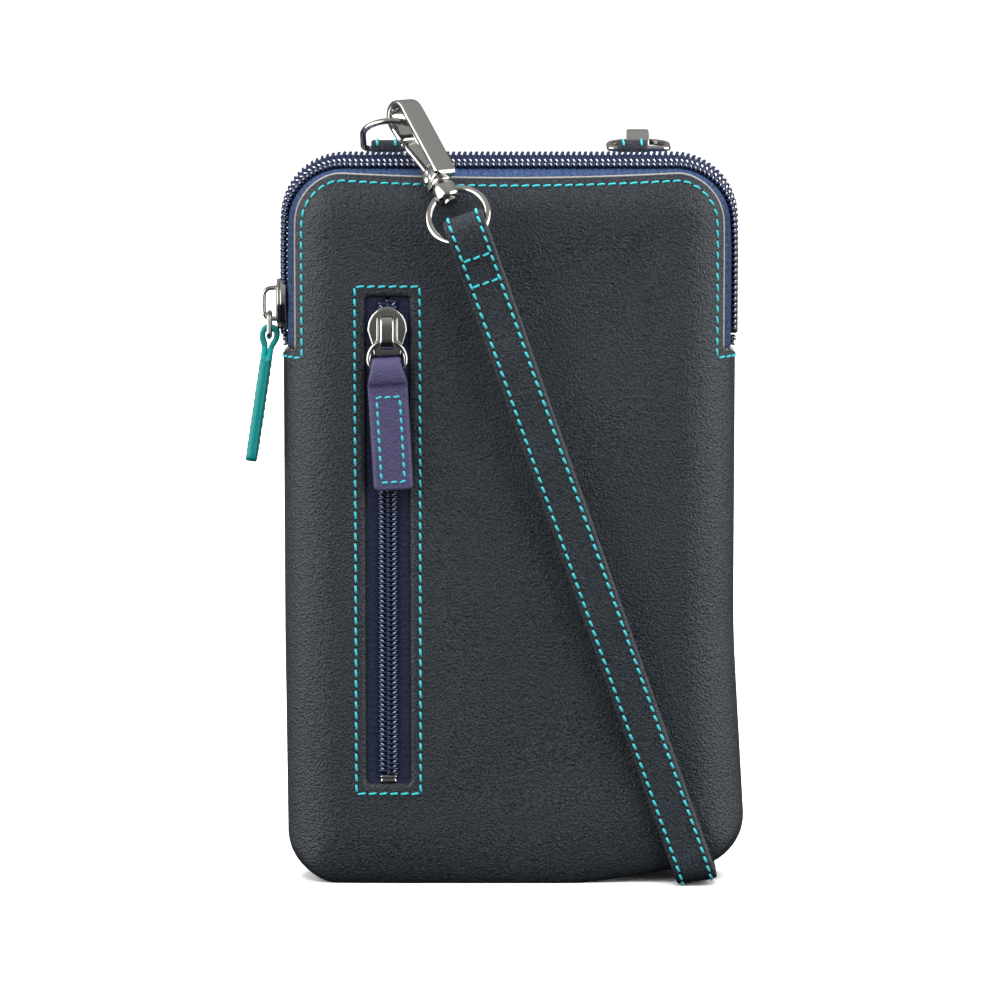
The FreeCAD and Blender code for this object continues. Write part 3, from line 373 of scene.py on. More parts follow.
black_leather = leather("black_cowhide", "#05080b", "#30363d", 0.44, 1.0, 0.75)
strap_leather = leather("black_strap_cowhide", "#0b0e11", "#31383f", 0.44, 0.8, 0.7)
teal_leather = leather("teal_dyed_cowhide", "#006d6b", "#00817e", 0.36, 0.1, 0.2)
purple_leather = leather("purple_dyed_cowhide", "#36334f", "#4a4668", 0.5, 0.6)
# Edge paint on the strap, drawn lighter grey than the face as a painted highlight along the edges.
edge_paint_highlight = leather("grey_edge_paint", "#33373c", "#4c5157", 0.45, 0.2)
# Pale colour for the panels' cut edges and the bead along them: a painted highlight on the black hide's edge.
cut_edge_highlight = leather("raw_cut_leather_edge", "#77736e", "#a39e97", 0.7, 0.2)
# Near-black beads sunk between stitches: painted shade inside each needle hole.
needle_hole_shade = leather("shaded_needle_hole", "#020303", "#060708", 0.8, 0.1)
print("leather grain repeats", round(per_metre(GRAIN)), "times a metre")

# %% [markdown]
# Sewing thread is bonded polyester, two plies twisted together: bright, slightly silky, and shaded
# by its twist. Zip tape is woven polyester with a fine rib, and the coil is extruded polyester
# monofilament, smooth enough to show a small highlight on every turn.

# %% Thread, tape and coil
PLY = 0.5
RIB = 0.9
YARN = 0.55
COIL_SPECK = 1.4
BOARD_FLAKE = 0.8
COIL_GLOSS = {"IOR": 1.57}


def woven(name, dark, light):
    """Woven tape: ribs across the tape from its own UV map, yarns as fine cells, in two shades."""
    made, tree, shader = new_material(name)
    place = add(tree, "ShaderNodeTexCoord")
    ribs = add(tree, "ShaderNodeTexWave", {"Vector": place["UV"], "Scale": per_metre(RIB) / (2 * math.pi),
                                           "Distortion": 1.2, "Detail": 1.0}, bands_direction="X")["Fac"]
    yarns = add(tree, "ShaderNodeTexVoronoi", {"Vector": place["Object"],
                                               "Scale": per_metre(YARN)})["Distance"]
    spots = add(tree, "ShaderNodeMapRange", {"Value": yarns, "From Min": 0.1, "From Max": 0.75})["Result"]
    shade = add(tree, "ShaderNodeMix", {"Factor": 0.8, "A": ribs, "B": spots})["Result"]
    tint = add(tree, "ShaderNodeMix", {"Factor": shade, "A": linear(dark), "B": linear(light)},
               data_type="RGBA")["Result"]
    bump = add(tree, "ShaderNodeBump", {"Height": shade, "Strength": 0.5, "Distance": 0.15 * MM})["Normal"]
    feed(shader, {"Base Color": tint, "Normal": bump, "Roughness": 0.85})
    return made


def plain_fibre(name, dark, light, roughness, grain, more=None):
    """Thread, coil or board: two shades mixed by a fine noise, which is also its relief."""
    made, tree, shader = new_material(name)
    place = add(tree, "ShaderNodeTexCoord")["Object"]
    noise = add(tree, "ShaderNodeTexNoise", {"Vector": place, "Scale": per_metre(grain),
                                             "Detail": 2.0})["Fac"]
    tint = add(tree, "ShaderNodeMix", {"Factor": noise, "A": linear(dark), "B": linear(light)},
               data_type="RGBA")["Result"]
    bump = add(tree, "ShaderNodeBump", {"Height": noise, "Strength": 0.25, "Distance": 0.1 * MM})["Normal"]
    feed(shader, {"Base Color": tint, "Normal": bump, "Roughness": roughness, **(more or {})})
    return made


thread = plain_fibre("teal_bonded_thread", "#0b8f98", "#2cbcc4", 0.5, PLY, {"Sheen Weight": 0.2})
blue_tape = woven("blue_zip_tape", "#050b1c", "#2c4268")
navy_tape = woven("navy_zip_tape", "#04060d", "#1a2440")
blue_coil = plain_fibre("blue_polyester_coil", "#080d22", "#121c40", 0.22, COIL_SPECK, COIL_GLOSS)
navy_coil = plain_fibre("navy_polyester_coil", "#0c1124", "#1b2440", 0.24, COIL_SPECK, COIL_GLOSS)
# Near-white beads on the main coil: sewing thread and painted glints on the turns.
pale_sewing_glint = plain_fibre("pale_coil_thread", "#c3cbe0", "#eef2fb", 0.5, PLY)
# Light grey beads on the pocket coil: sewing thread drawn light as painted glints.
grey_sewing_glint = plain_fibre("grey_coil_thread", "#56627d", "#96a2ba", 0.5, PLY)
lining_cloth = woven("lining_cloth", "#1d2138", "#2c3150")
board = plain_fibre("fibre_board", "#7d7a74", "#94918a", 0.9, BOARD_FLAKE)
print("tape ribs every", RIB, "mm")

# %% [markdown]
# The metal fittings are zinc castings and steel wire under bright nickel plate: a neutral, slightly
# warm mirror with a faint haze from polishing. The haze is a slow change of roughness, no more.

# %% Nickel plate
POLISH = 3.0
nickel, tree, shader = new_material("polished_nickel_plate")
place = add(tree, "ShaderNodeTexCoord")["Object"]
haze = add(tree, "ShaderNodeTexNoise", {"Vector": place, "Scale": per_metre(POLISH)})["Fac"]
rough = add(tree, "ShaderNodeMapRange", {"Value": haze, "To Min": 0.08, "To Max": 0.2})["Result"]
feed(shader, {"Base Color": linear("#c3c0bb"), "Metallic": 1.0, "Roughness": rough})
print("materials:", len(bpy.data.materials))

# %% [markdown]
# The strap is two thin layers of leather sewn edge to edge. It folds round the ring of the left
# clasp, crosses the front, turns under the base and is put away behind as flat folds, ending on the
# ring of the right clasp. It is a cord, so one smooth NURBS line leads the whole of it, and a flat
# band is carried along the points read from that line.

# %% Strap route
STRAP_WIDTH = 10.0
STRAP_LEAN = 19.31
EYE_RISE = 1.02
FOLD = 4.0
FOOT_LEAD = 12.0
FOOT_TURN = 6.0
# Each loop at a ring: distance up the strap from the ring wire, and distance behind it.
LEFT_LOOP = [(-36.0, 2.75), (-12.0, 1.45), (-3.0, 2.4), (4.7, 2.6), (4.7, -2.6), (-3.0, -2.3),
             (-12.0, -0.05), (-36.0, 1.45), (-60.0, 3.2)]
RIGHT_LOOP = [(-60.0, 0.3), (-30.0, 0.7), (-12.0, 0.75), (-3.0, 2.3), (4.7, 2.6), (4.7, -2.6),
              (-3.0, -2.3), (-12.0, -0.75), (-30.0, -0.7)]


def joint_place(name):
    """Where a joint sits, in mm."""
    return np.array(joints[name]["pos_m"]) / MM


def joint_way(name):
    """The unit direction of a joint's axis."""
    return unit(np.array(joints[name]["axis"]))


def strap_eye(side):
    """The middle of the strap's loop: the swing point of the strap ring, moved up by half the ring's sag."""
    return joint_place(side + "_strap_ring_swing") + EYE_RISE * joint_way(side + "_hook_spin")


def strap_across(lean):
    """The direction across the strap's width, for a lean to the left in degrees, or an array of leans."""
    angle = np.radians(lean)
    return xyz(np.cos(angle), 0.0, np.sin(angle))


def spline_points(points):
    """Points read from a NURBS line of order 3 that has the given control points."""
    curve = bpy.data.curves.new("strap_line", "CURVE")
    curve.dimensions = "3D"
    spline = curve.splines.new("NURBS")
    spline.points.add(len(points) - 1)
    spline.points.foreach_set("co", np.column_stack([points, np.ones(len(points))]).ravel())
    spline.order_u = 3
    spline.use_endpoint_u = True
    spline.resolution_u = 14
    holder = bpy.data.objects.new("strap_line", curve)
    read = bpy.data.meshes.new_from_object(holder)
    co = np.empty(3 * len(read.vertices))
    read.vertices.foreach_get("co", co)
    bpy.data.objects.remove(holder)
    bpy.data.meshes.remove(read)
    bpy.data.curves.remove(curve)
    return co.reshape(-1, 3)


left_eye, right_eye = strap_eye("left"), strap_eye("right")
front_foot = np.array([46.0, -13.5, 1.88])
back_foot = np.array([46.0, 14.4, 1.88])
fold_top = np.array([-7.9, 14.4, 155.71])
fold_low = np.array([44.28, 14.4, 6.79])
run_up = np.cross(strap_across(STRAP_LEAN), Y_BACK)
last_way = unit(right_eye - (fold_low + 5 * FOLD * Y_BACK))

route = [left_eye + up * run_up + behind * Y_BACK for up, behind in LEFT_LOOP]
route += [front_foot + FOOT_LEAD * run_up - 0.7 * Y_BACK, front_foot - 0.5 * Y_BACK,
          front_foot + FOOT_TURN * Y_BACK, back_foot - FOOT_TURN * Y_BACK, back_foot,
          back_foot + FOOT_LEAD * run_up]
for turn in range(3):
    at_top = turn % 2 == 0
    corner = (fold_top if at_top else fold_low) + turn * FOLD * Y_BACK
    inward = (-FOLD if at_top else FOLD) * run_up
    route += [corner + inward, corner, corner + FOLD * Y_BACK, corner + FOLD * Y_BACK + inward]
last_low = fold_low + 3 * FOLD * Y_BACK
route += [last_low + 2 * FOLD * run_up, last_low, last_low + 2 * FOLD * Y_BACK,
          last_low + 2 * FOLD * Y_BACK + 2 * FOLD * last_way]
route += [right_eye + up * last_way + behind * Y_BACK for up, behind in RIGHT_LOOP]
strap_line = spline_points(np.array(route))
strap_reach = lengths(strap_line)
strap_length = strap_reach[-1]
print("strap line", len(strap_line), "points,", round(strap_length), "mm")

# %% [markdown]
# The band keeps its width level with the lean of each run, so it turns a little where it goes under
# the base and where the last run starts. It is thinner in the two laps at the rings, a fine crease
# runs along both edges, and the edges are painted in a grey lighter than the face: edge paint with a
# painted highlight.

# %% Strap band
STRAP_THICK = 2.0
LAP_THICK = 1.3
TIP_THICK = 0.7
LAP_END = 78.0
LAP_STEP = 4.0
TIP = 6.0
FOOT_LEAN = 9.0
CREASE_AT = 4.35
CREASE_DEEP = 0.16
CREASE_WIDE = 0.16
BAND_POINTS = 18


def reach_near(spot):
    """The distance along the strap of its point nearest to a spot."""
    return strap_reach[np.linalg.norm(strap_line - spot, axis=1).argmin()]


def creased(profile):
    """Press a fine line along both edges of a strap profile: y shrinks by a narrow dip at the crease."""
    dip = CREASE_DEEP * np.exp(-((np.abs(profile[..., :1]) - CREASE_AT) / CREASE_WIDE) ** 2)
    out = profile.copy()
    out[..., 1:] -= np.sign(profile[..., 1:]) * dip
    return out


foot = reach_near((front_foot + back_foot) / 2)
last = reach_near(last_low + FOLD * Y_BACK)
last_lean = math.degrees(math.atan2(fold_low[0] - right_eye[0], right_eye[2] - fold_low[2]))
lean_at = [foot - 45, foot - 12, foot + 12, foot + 45, last - 20, last + 20]
leans = [STRAP_LEAN, FOOT_LEAN, FOOT_LEAN, STRAP_LEAN, STRAP_LEAN, last_lean]
strap_way = tangents(strap_line)
strap_wide = strap_across(np.interp(strap_reach, lean_at, leans))
strap_wide = unit(strap_wide - strap_way * (strap_wide * strap_way).sum(axis=1, keepdims=True))
strap_out = np.cross(strap_way, strap_wide)
from_end = np.minimum(strap_reach, strap_length - strap_reach)
strap_thick = np.interp(from_end, [0, TIP, LAP_END - LAP_STEP, LAP_END],
                        [TIP_THICK, LAP_THICK, LAP_THICK, STRAP_THICK])
strap_profile = creased(scaled(band_profile(STRAP_WIDTH, BAND_POINTS), 1.0, strap_thick))
strap = piece("strap", rod(strap_profile, strap_line, strap_wide, strap_out), strap_leather,
              "strap_leather", "pouch", "strap_front", "strap_hank")
strap.data.materials.append(edge_paint_highlight)
around = 2 * BAND_POINTS
edge_columns = np.isin(np.arange(around), [0, BAND_POINTS - 2, BAND_POINTS - 1, BAND_POINTS,
                                           around - 2, around - 1])
# Faces on the strap's edges take the edge paint with its painted highlight.
painted = np.concatenate([np.tile(edge_columns, len(strap_line) - 1), [True, True]])
strap.data.polygons.foreach_set("material_index", painted.astype(np.int32))
print("strap", len(strap.data.polygons), "faces")

# %% [markdown]
# Every seam is lockstitch in one teal thread: short raised beads that dive into the leather at both
# ends. One bead of a few dozen faces is copied along each seam at the seam's real pitch, lying along
# the seam with a slight slant, as a lockstitch pulls. A dark bead sunk between each two is painted
# shade: it stands for the shade inside the needle's hole.

# %% Stitch helpers
STITCH_PITCH = 2.6
STITCH_LENGTH = 2.05
STITCH_LIFT = 0.12
THREAD = 0.3
SLANT = 0.12
# The dark beads of painted shade in the needle holes: length, radius and depth below the surface.
HOLE_SHADE_LENGTH = 0.75
HOLE_SHADE_RADIUS = 0.3
HOLE_SHADE_SUNK = 0.22


def bead(length, radius):
    """A rounded rod along x with six-sided rings: its radius is an ellipse in x and its ends bend down."""
    x = np.array([-0.5, -0.44, -0.25, 0.0, 0.25, 0.44, 0.5])[:, None]
    swell = np.sqrt(np.maximum(1 - (1.98 * x) ** 6, 0.12))
    ring = circle(radius, 6)
    return small_rod(xyz(x * length, swell * ring[:, 0], swell * ring[:, 1] - radius * (2 * x) ** 4))


def seam_frames(seams, pitch, slant, between):
    """Place, direction, side and normal of each stitch of several seams, or of the gaps between stitches.

    A seam is a path and its normal. It holds a whole number of stitches, as near to the pitch as can be.
    """
    found = []
    for path, normal in seams:
        total = lengths(path)[-1]
        count = max(1, round(total / pitch))
        places = (np.arange(count) + 0.5) * total / count
        if between:
            places = 0.5 * (places[1:] + places[:-1])
        normal = np.broadcast_to(normal, path.shape)
        found.append([along(path, values, places) for values in (path, tangents(path), normal)])
    centres, ways, normals = (np.concatenate(part) for part in zip(*found))
    ways, normals = unit(ways), unit(normals)
    ways = unit(ways + slant * np.cross(normals, ways))
    return centres, ways, unit(np.cross(normals, ways)), normals


def sew(name, seams, body, length=STITCH_LENGTH, pitch=STITCH_PITCH, radius=THREAD, slant=SLANT):
    """Thread beads along several seams and, between each two, a dark bead of painted shade for the needle
    hole, as one piece.
    """
    centres, *axes = seam_frames(seams, pitch, slant, False)
    points, faces = copies(bead(length, radius), centres + STITCH_LIFT * axes[2], *axes)
    centres, *axes = seam_frames(seams, pitch, slant, True)
    # Dark beads of painted shade between the stitches, where the needle holes are.
    hole_shades, hole_shade_faces = copies(bead(HOLE_SHADE_LENGTH, HOLE_SHADE_RADIUS), centres - HOLE_SHADE_SUNK * axes[2], *axes)
    everything = np.concatenate([faces, hole_shade_faces + len(points)]).tolist()
    made = piece(name, (np.concatenate([points, hole_shades]), everything), thread, "teal_leather", body)
    made.data.materials.append(needle_hole_shade)
    made.data.polygons.foreach_set("material_index", np.repeat([0, 1], [len(faces), len(hole_shade_faces)]))
    return made


print("one stitch is", len(bead(STITCH_LENGTH, THREAD)[1]), "faces")

# %% [markdown]
# The strap has a row of stitches along each edge on both faces, and two rows across it close the lap
# at the left ring.

# %% Strap stitching
ROW_AT = 3.55
ENDS_CLEAR = 3.0
BOX_ROWS = (11.5, 18.5)


def strap_row(side, face):
    """A row along one edge of the strap on one face: line + side across + half the thickness out."""
    keep = from_end > ENDS_CLEAR
    out = face * strap_out
    points = strap_line + side * ROW_AT * strap_wide + out * (strap_thick[:, None] / 2)
    return points[keep], out[keep]


def box_row(reach):
    """A row across the strap between the two edge rows, on its front face at one distance along it."""
    i = np.abs(strap_reach - reach).argmin()
    steps = np.linspace(-ROW_AT, ROW_AT, 12)[:, None]
    front = strap_out[i] * np.sign(-strap_out[i][1])
    return strap_line[i] + steps * strap_wide[i] + front * strap_thick[i] / 2, front


crown = strap_reach[np.argmax(strap_line[: len(strap_line) // 6] @ run_up)]
strap_seams = {"strap_box_stitches": [box_row(crown + reach) for reach in BOX_ROWS]}
for name, face in (("strap_outer_stitches", -1), ("strap_inner_stitches", 1)):
    strap_seams[name] = [strap_row(side, face) for side in (-1, 1)]
strap_sewing = [sew(name, seams, "pouch", length=1.9, pitch=2.5, radius=0.32)
                for name, seams in strap_seams.items()]
print("strap stitches", [len(made.data.polygons) for made in strap_sewing], "faces")

# %% [markdown]
# A small leather keeper holds the folds together. It is a plain closed band: a flat profile carried
# round a rounded rectangle that clears the four layers.

# %% Keeper band
KEEPER_AT = 88.5
KEEPER_WIDTH = 9.0
KEEPER_THICK = 0.8
KEEPER_HALF = 5.5
KEEPER_FRONT = 13.0
KEEPER_BACK = 27.8
KEEPER_CORNER = 1.6
keeper_foot = back_foot * (X_RIGHT + Z_UP) + KEEPER_AT * run_up
loop = round_box(KEEPER_HALF, KEEPER_FRONT, KEEPER_BACK, KEEPER_CORNER, 8, 6)
keeper_line = keeper_foot + loop[:, :1] * strap_across(STRAP_LEAN) + loop[:, 1:] * Y_BACK
keeper_rings = carry(round_rect(KEEPER_WIDTH, KEEPER_THICK, 6, 20), keeper_line, run_up,
                     np.cross(tangents(keeper_line, True), run_up))
keeper = piece("strap_keeper", skinned(keeper_rings, closed=True), strap_leather, "strap_leather",
               "pouch", "strap_tie")
print("keeper", round(lengths(keeper_line)[-1]), "mm round")

# %% [markdown]
# The walls of the bag are moulded: each panel is flat in the middle and rolls over to a seam at its
# rim. The rim is a quarter ellipse, so a ring at angle a lies 14 (1 - cos a) inside the outline and
# 12 sin a in front of the middle; the base stays flat for 8.5 mm and then turns up over 15 mm. Rings
# at many angles make one grid that is called the skin here, and everything on the wall, such as edges
# and seams, is read from it.

# %% Skin of the bag
HALF_WIDTH = 55.4
BAG_HEIGHT = 178.8
FLARE_START = 62.0
FLARE_LEFT = -0.6
FLARE_RIGHT = 3.4
FLARE_ROUND = 300.0
TOP_CORNER = 15.8
BOTTOM_CORNER = 12.5
LEAST_ROUND = 4.0
BASE_LEFT = 19.4
BASE_RIGHT = 35.4
BASE_DIP = 0.4
BASE_ROUND = 40.0
LIFT_LEFT = 0.4
LIFT_RIGHT = 5.4
HALF_DEPTH = 12.0
BASE_HALF_DEPTH = 8.5
EDGE_RUN = 14.0
BOTTOM_RUN = 15.0
NOTCH_Z = 131.5
SEAM_PINCH = 0.7
PINCH_ANGLE = math.radians(9)
SKIN_STEP = 1.5
# Samples on each corner's arc and on the run after it; the long sides are split at the notch.
CORNER_SAMPLES = (8, 8, 14, 5, 16, 16, 5, 14)
RUN_SAMPLES = (34, 14, 22, (38, 18), 44, (18, 38), 22, 6)


def outline(inset, bottom):
    """The bag's outline drawn in by inset: at each corner an arc of its radius, then a straight run."""
    left, right, top = -HALF_WIDTH + inset, HALF_WIDTH - inset, BAG_HEIGHT - inset
    high, low = (max(radius - inset, LEAST_ROUND) for radius in (TOP_CORNER, BOTTOM_CORNER))
    corners = np.array([(left + BASE_LEFT, bottom - BASE_DIP, BASE_ROUND),
                        (right - BASE_RIGHT, bottom - BASE_DIP, BASE_ROUND),
                        (right + FLARE_RIGHT, bottom + LIFT_RIGHT, low), (right, FLARE_START, FLARE_ROUND),
                        (right, top, high), (left, top, high), (left, FLARE_START, FLARE_ROUND),
                        (left - FLARE_LEFT, bottom + LIFT_LEFT, low)])
    spot, radius = corners[:, :2], corners[:, 2:]
    back = unit(np.roll(spot, 1, axis=0) - spot)
    ahead = unit(np.roll(spot, -1, axis=0) - spot)
    half = np.arccos((back * ahead).sum(axis=1, keepdims=True)) / 2
    centre = spot + unit(back + ahead) * radius / np.sin(half)
    start = spot + back * radius / np.tan(half)
    end = spot + ahead * radius / np.tan(half)
    sweep = math.pi - 2 * half
    parts = []
    for i, (bend, run) in enumerate(zip(CORNER_SAMPLES, RUN_SAMPLES)):
        share = np.linspace(0, 1, bend)[:, None]
        arm = ((start[i] - centre[i]) * np.sin((1 - share) * sweep[i])
               + (end[i] - centre[i]) * np.sin(share * sweep[i])) / np.sin(sweep[i])
        following = start[(i + 1) % len(corners)]
        if isinstance(run, tuple):
            notch = (NOTCH_Z - end[i][1]) / (following[1] - end[i][1])
            share = np.concatenate([np.linspace(0, notch, run[0] + 1)[1:],
                                    np.linspace(notch, 1, run[1] + 1)[1:-1]])
        else:
            share = np.linspace(0, 1, run + 2)[1:-1]
        parts += [centre[i] + arm, end[i] + share[:, None] * (following - end[i])]
    return np.concatenate(parts)


def skin_of(offset):
    """Rings of the front wall, drawn in by offset, from the middle of the rim to the flat face."""
    rings = []
    deep, base = HALF_DEPTH - offset, BASE_HALF_DEPTH - offset
    for angle in np.radians(np.arange(0, 90 + SKIN_STEP / 2, SKIN_STEP)):
        depth = deep * math.sin(angle)
        past_base = max(0.0, depth - base) / (deep - base)
        pinch = SEAM_PINCH * math.exp(-(angle / PINCH_ANGLE) ** 2) if offset == 0 else 0.0
        inset = offset + EDGE_RUN * (1 - math.cos(angle)) + pinch
        ring = outline(inset, offset + BOTTOM_RUN * (1 - math.sqrt(1 - past_base ** 2)) + pinch)
        rings.append(xyz(ring[:, 0], -depth, np.maximum(ring[:, 1], 0.0)))
    return np.array(rings)


def on_skin(skin, angle, column=None):
    """Points of a skin at one angle per column, or at several of one column, read between its rings."""
    place = np.clip(angle / SKIN_STEP, 0, len(skin) - 1.001)
    low = place.astype(int)
    share = (place - low)[..., None]
    column = np.arange(skin.shape[1]) if column is None else column
    return skin[low, column] * (1 - share) + skin[low + 1, column] * share


leather_skin = skin_of(0.0)
COLUMNS = leather_skin.shape[1]
rim_z = leather_skin[0, :, 2]
RIGHT_NOTCH = int(np.abs(rim_z[: COLUMNS // 2] - NOTCH_Z).argmin())
LEFT_NOTCH = int(COLUMNS // 2 + np.abs(rim_z[COLUMNS // 2:] - NOTCH_Z).argmin())
print("skin", leather_skin.shape, "notch columns", RIGHT_NOTCH, LEFT_NOTCH)

# %% [markdown]
# Above the notches each panel is cut back round the arched zip: by 3.4 mm at the sides and 5.2 mm
# over the top. The angle where that cut falls on the rim is worked out for each column of the skin.
# The flat middle is filled by a Delaunay mesh, which takes the pocket's window as a hole, and slow
# waves keep it from being dead flat. A Solidify modifier gives the leather its thickness, with a
# pale cut edge whose colour is a painted highlight. The board and the lining inside follow the same skin,
# drawn in.

# %% Panels
SIDE_CUT = 3.4
TOP_CUT = 5.2
CUT_BLEND = 6.0
CORNER_RISE = 1.0
LEATHER = 1.2
WINDOW_X = -29.5
WINDOW_HALF = 5.25
WINDOW_LOW = 25.5
WINDOW_HIGH = 144.8
WINDOW_CORNER = 0.9
LIP = 1.5
FILL_STEP = 2.2
WAVE_DEEP = 0.35
WAVE_FADE = 18.0
WING_DROP = 2.4
WING_FADE = 4.0
EDGE_RINGS = 12
FACE_RINGS = 22

top_share = smooth((rim_z - (BAG_HEIGHT - TOP_CORNER - CUT_BLEND)) / (TOP_CORNER + CUT_BLEND))
corner_rise = CORNER_RISE * np.clip(leather_skin[0, :, 0] / (HALF_WIDTH - TOP_CORNER), -1.1, 1.1) ** 2
edge_inset = SIDE_CUT + (TOP_CUT - SIDE_CUT - corner_rise) * top_share
edge_angle = np.degrees(np.arccos(1 - edge_inset / EDGE_RUN))


def waves(x, z):
    """Slow uneven dips of worn leather in mm, always inwards."""
    return WAVE_DEEP * (1 + 0.5 * np.sin(x / 13 + z / 31) + 0.5 * np.sin(z / 19 - x / 23 + 1.3))


def inside(points, ring):
    """Which points lie inside a closed ring, by counting crossings of a ray along +x."""
    a, b = ring, np.roll(ring, -1, axis=0)
    crosses = (a[:, 1] > points[:, 1:]) != (b[:, 1] > points[:, 1:])
    slope = (b[:, 0] - a[:, 0]) / np.where(b[:, 1] == a[:, 1], 1e-9, b[:, 1] - a[:, 1])
    return (crosses & (points[:, :1] < a[:, 0] + slope * (points[:, 1:] - a[:, 1]))).sum(axis=1) % 2 == 1


def nearest(points, loops):
    """The distance of each point from the nearest point of some loops."""
    return np.linalg.norm(points[:, None] - np.concatenate(loops)[None], axis=2).min(axis=1)


def window_ring(margin):
    """The window's edge, moved out by a margin."""
    ring = round_box(WINDOW_HALF + margin, WINDOW_LOW - margin, WINDOW_HIGH + margin,
                     WINDOW_CORNER + margin, 6, 14)
    return ring + np.array([WINDOW_X, 0.0])


def fill(rim, face_y, hole):
    """Points and triangles that fill a flat rim loop, round a hole loop if there is one."""
    low, high = rim.min(axis=0), rim.max(axis=0)
    x, z = np.meshgrid(np.arange(low[0], high[0], FILL_STEP), np.arange(low[1], high[1], FILL_STEP * 0.87))
    x = x + 0.5 * FILL_STEP * (np.arange(len(x)) % 2)[:, None]
    spots = xyz(x.ravel(), z.ravel())
    loops = [rim] if hole is None else [rim, hole]
    keep = inside(spots, rim) & (nearest(spots, loops) > 0.6 * FILL_STEP)
    if hole is not None:
        keep &= ~inside(spots, hole)
    flat = np.concatenate(loops + [spots[keep]])
    edges, first = [], 0
    for ring in loops:
        index = first + np.arange(len(ring))
        edges += xyz(index, np.roll(index, -1)).tolist()
        first += len(ring)
    made = delaunay_2d_cdt([Vector(p) for p in flat], edges, [], 1, 1e-5)
    source = np.array([origin[0] for origin in made[3]])
    triangles = source[np.array(made[2])]
    if hole is not None:
        triangles = triangles[~inside(flat[triangles].mean(axis=1), hole)]
    depth = face_y + waves(flat[:, 0], flat[:, 1]) * smooth(nearest(flat, loops) / WAVE_FADE)
    return xyz(flat[:, 0], depth, flat[:, 1]), triangles


def wall(name, sign, offset, thick, setback, hole_margin, lip, material, edge, slot, node):
    """One layer of a wall: rim grid, filled middle and, round the window, a lip that rolls inwards."""
    skin = leather_skin if offset == 0 else skin_of(offset)
    start = edge_angle + setback
    low = np.linspace(0, 1, EDGE_RINGS)[:-1, None] * start.min()
    high = start + np.linspace(0, 1, FACE_RINGS)[:, None] * (90 - start)
    grid = on_skin(skin, np.concatenate([np.broadcast_to(low, (EDGE_RINGS - 1, COLUMNS)), high]))
    wing = grid[: EDGE_RINGS - 1]
    under = np.clip(NOTCH_Z - wing[..., 2], 0, None)
    wing[..., 2] -= WING_DROP * np.linspace(1, 0, len(wing))[:, None] ** 2 * np.exp(-under / WING_FADE)
    rows = len(grid)
    faces = grid_faces(rows, COLUMNS, wrap_cols=True)
    row, column = faces[:, 0] // COLUMNS, faces[:, 0] % COLUMNS
    cut = (row < EDGE_RINGS - 1) & (column >= RIGHT_NOTCH) & (column < LEFT_NOTCH)
    hole = None if hole_margin is None else window_ring(hole_margin + lip)
    middle, triangles = fill(grid[-1][:, [0, 2]], -HALF_DEPTH + offset, hole)
    points = np.concatenate([grid.reshape(-1, 3), middle[COLUMNS:]])
    groups = [faces[~cut], triangles + (rows - 1) * COLUMNS]
    if lip:
        share = np.linspace(1, 0, 7)[1:]
        drop = LEATHER * (1 - np.sqrt(1 - (1 - share) ** 2))
        rolled = [window_ring(hole_margin + lip * s) for s in share]
        rings = np.array([xyz(r[:, 0], -HALF_DEPTH + d, r[:, 1]) for r, d in zip(rolled, drop)])
        count = rings.shape[1]
        quads = grid_faces(len(rings) + 1, count, wrap_cols=True)
        groups.append(np.where(quads >= count, quads - count + len(points), quads + rows * COLUMNS))
        points = np.concatenate([points, rings.reshape(-1, 3)])
    used = np.unique(np.concatenate([group.ravel() for group in groups]))
    renumber = np.zeros(len(points), dtype=int)
    renumber[used] = np.arange(len(used))
    lists = [face for group in groups for face in renumber[group].tolist()]
    made = piece(name, (points[used] * np.array([1.0, -sign, 1.0]), lists), material, slot, "pouch", node)
    made.data.materials.append(edge)
    solid = made.modifiers.new("thickness", "SOLIDIFY")
    solid.thickness = thick * MM
    solid.offset = -1.0
    solid.use_rim = True
    solid.material_offset_rim = 1
    return made


for side, sign, hole_margin, lip in (("front", -1, 0.0, LIP), ("back", 1, None, 0.0)):
    panel = wall(side + "_panel_leather", sign, 0.0, LEATHER - 0.1, 0.0, hole_margin, lip,
                 black_leather, cut_edge_highlight, "black_leather", side + "_panel")
    print(side, "panel", len(panel.data.polygons), "faces")
for side, sign, hole_margin in (("front", -1, 3.0), ("back", 1, None)):
    wall(side + "_board", sign, 1.3, 0.7, 4.0, hole_margin, 0.0, board, board,
         "stiffener_board", side + "_stiffener")
    wall(side + "_lining_cloth", sign, 3.6, 0.3, 4.0, None, 0.0, lining_cloth, lining_cloth,
         "lining_cloth", side + "_lining")

# %% [markdown]
# A single seam follows the cut edge of each panel 2.3 mm inside it, and at the notches it turns out
# to the rim. Its path is read from the skin, with the normal of the ellipse as the surface normal.
# A thin pale bead along the cut is a painted highlight on the edge, and four straight seams frame the pocket's
# window.

# %% Panel seams
SEAM_IN = 2.3
SEAM_SLOPE_AT = 5.0
CUT_EDGE = 0.24
CUT_EDGE_IN = 0.8
WINDOW_SEAM = 2.6
MIRROR_Y = np.array([1.0, -1.0, 1.0])


def rim_normal(angle, direction):
    """The normal of the rim's ellipse: outward direction times cos a / run, and forward sin a / depth."""
    angle = np.radians(angle)[..., None]
    return unit(direction * np.cos(angle) / EDGE_RUN - Y_BACK * np.sin(angle) / HALF_DEPTH)


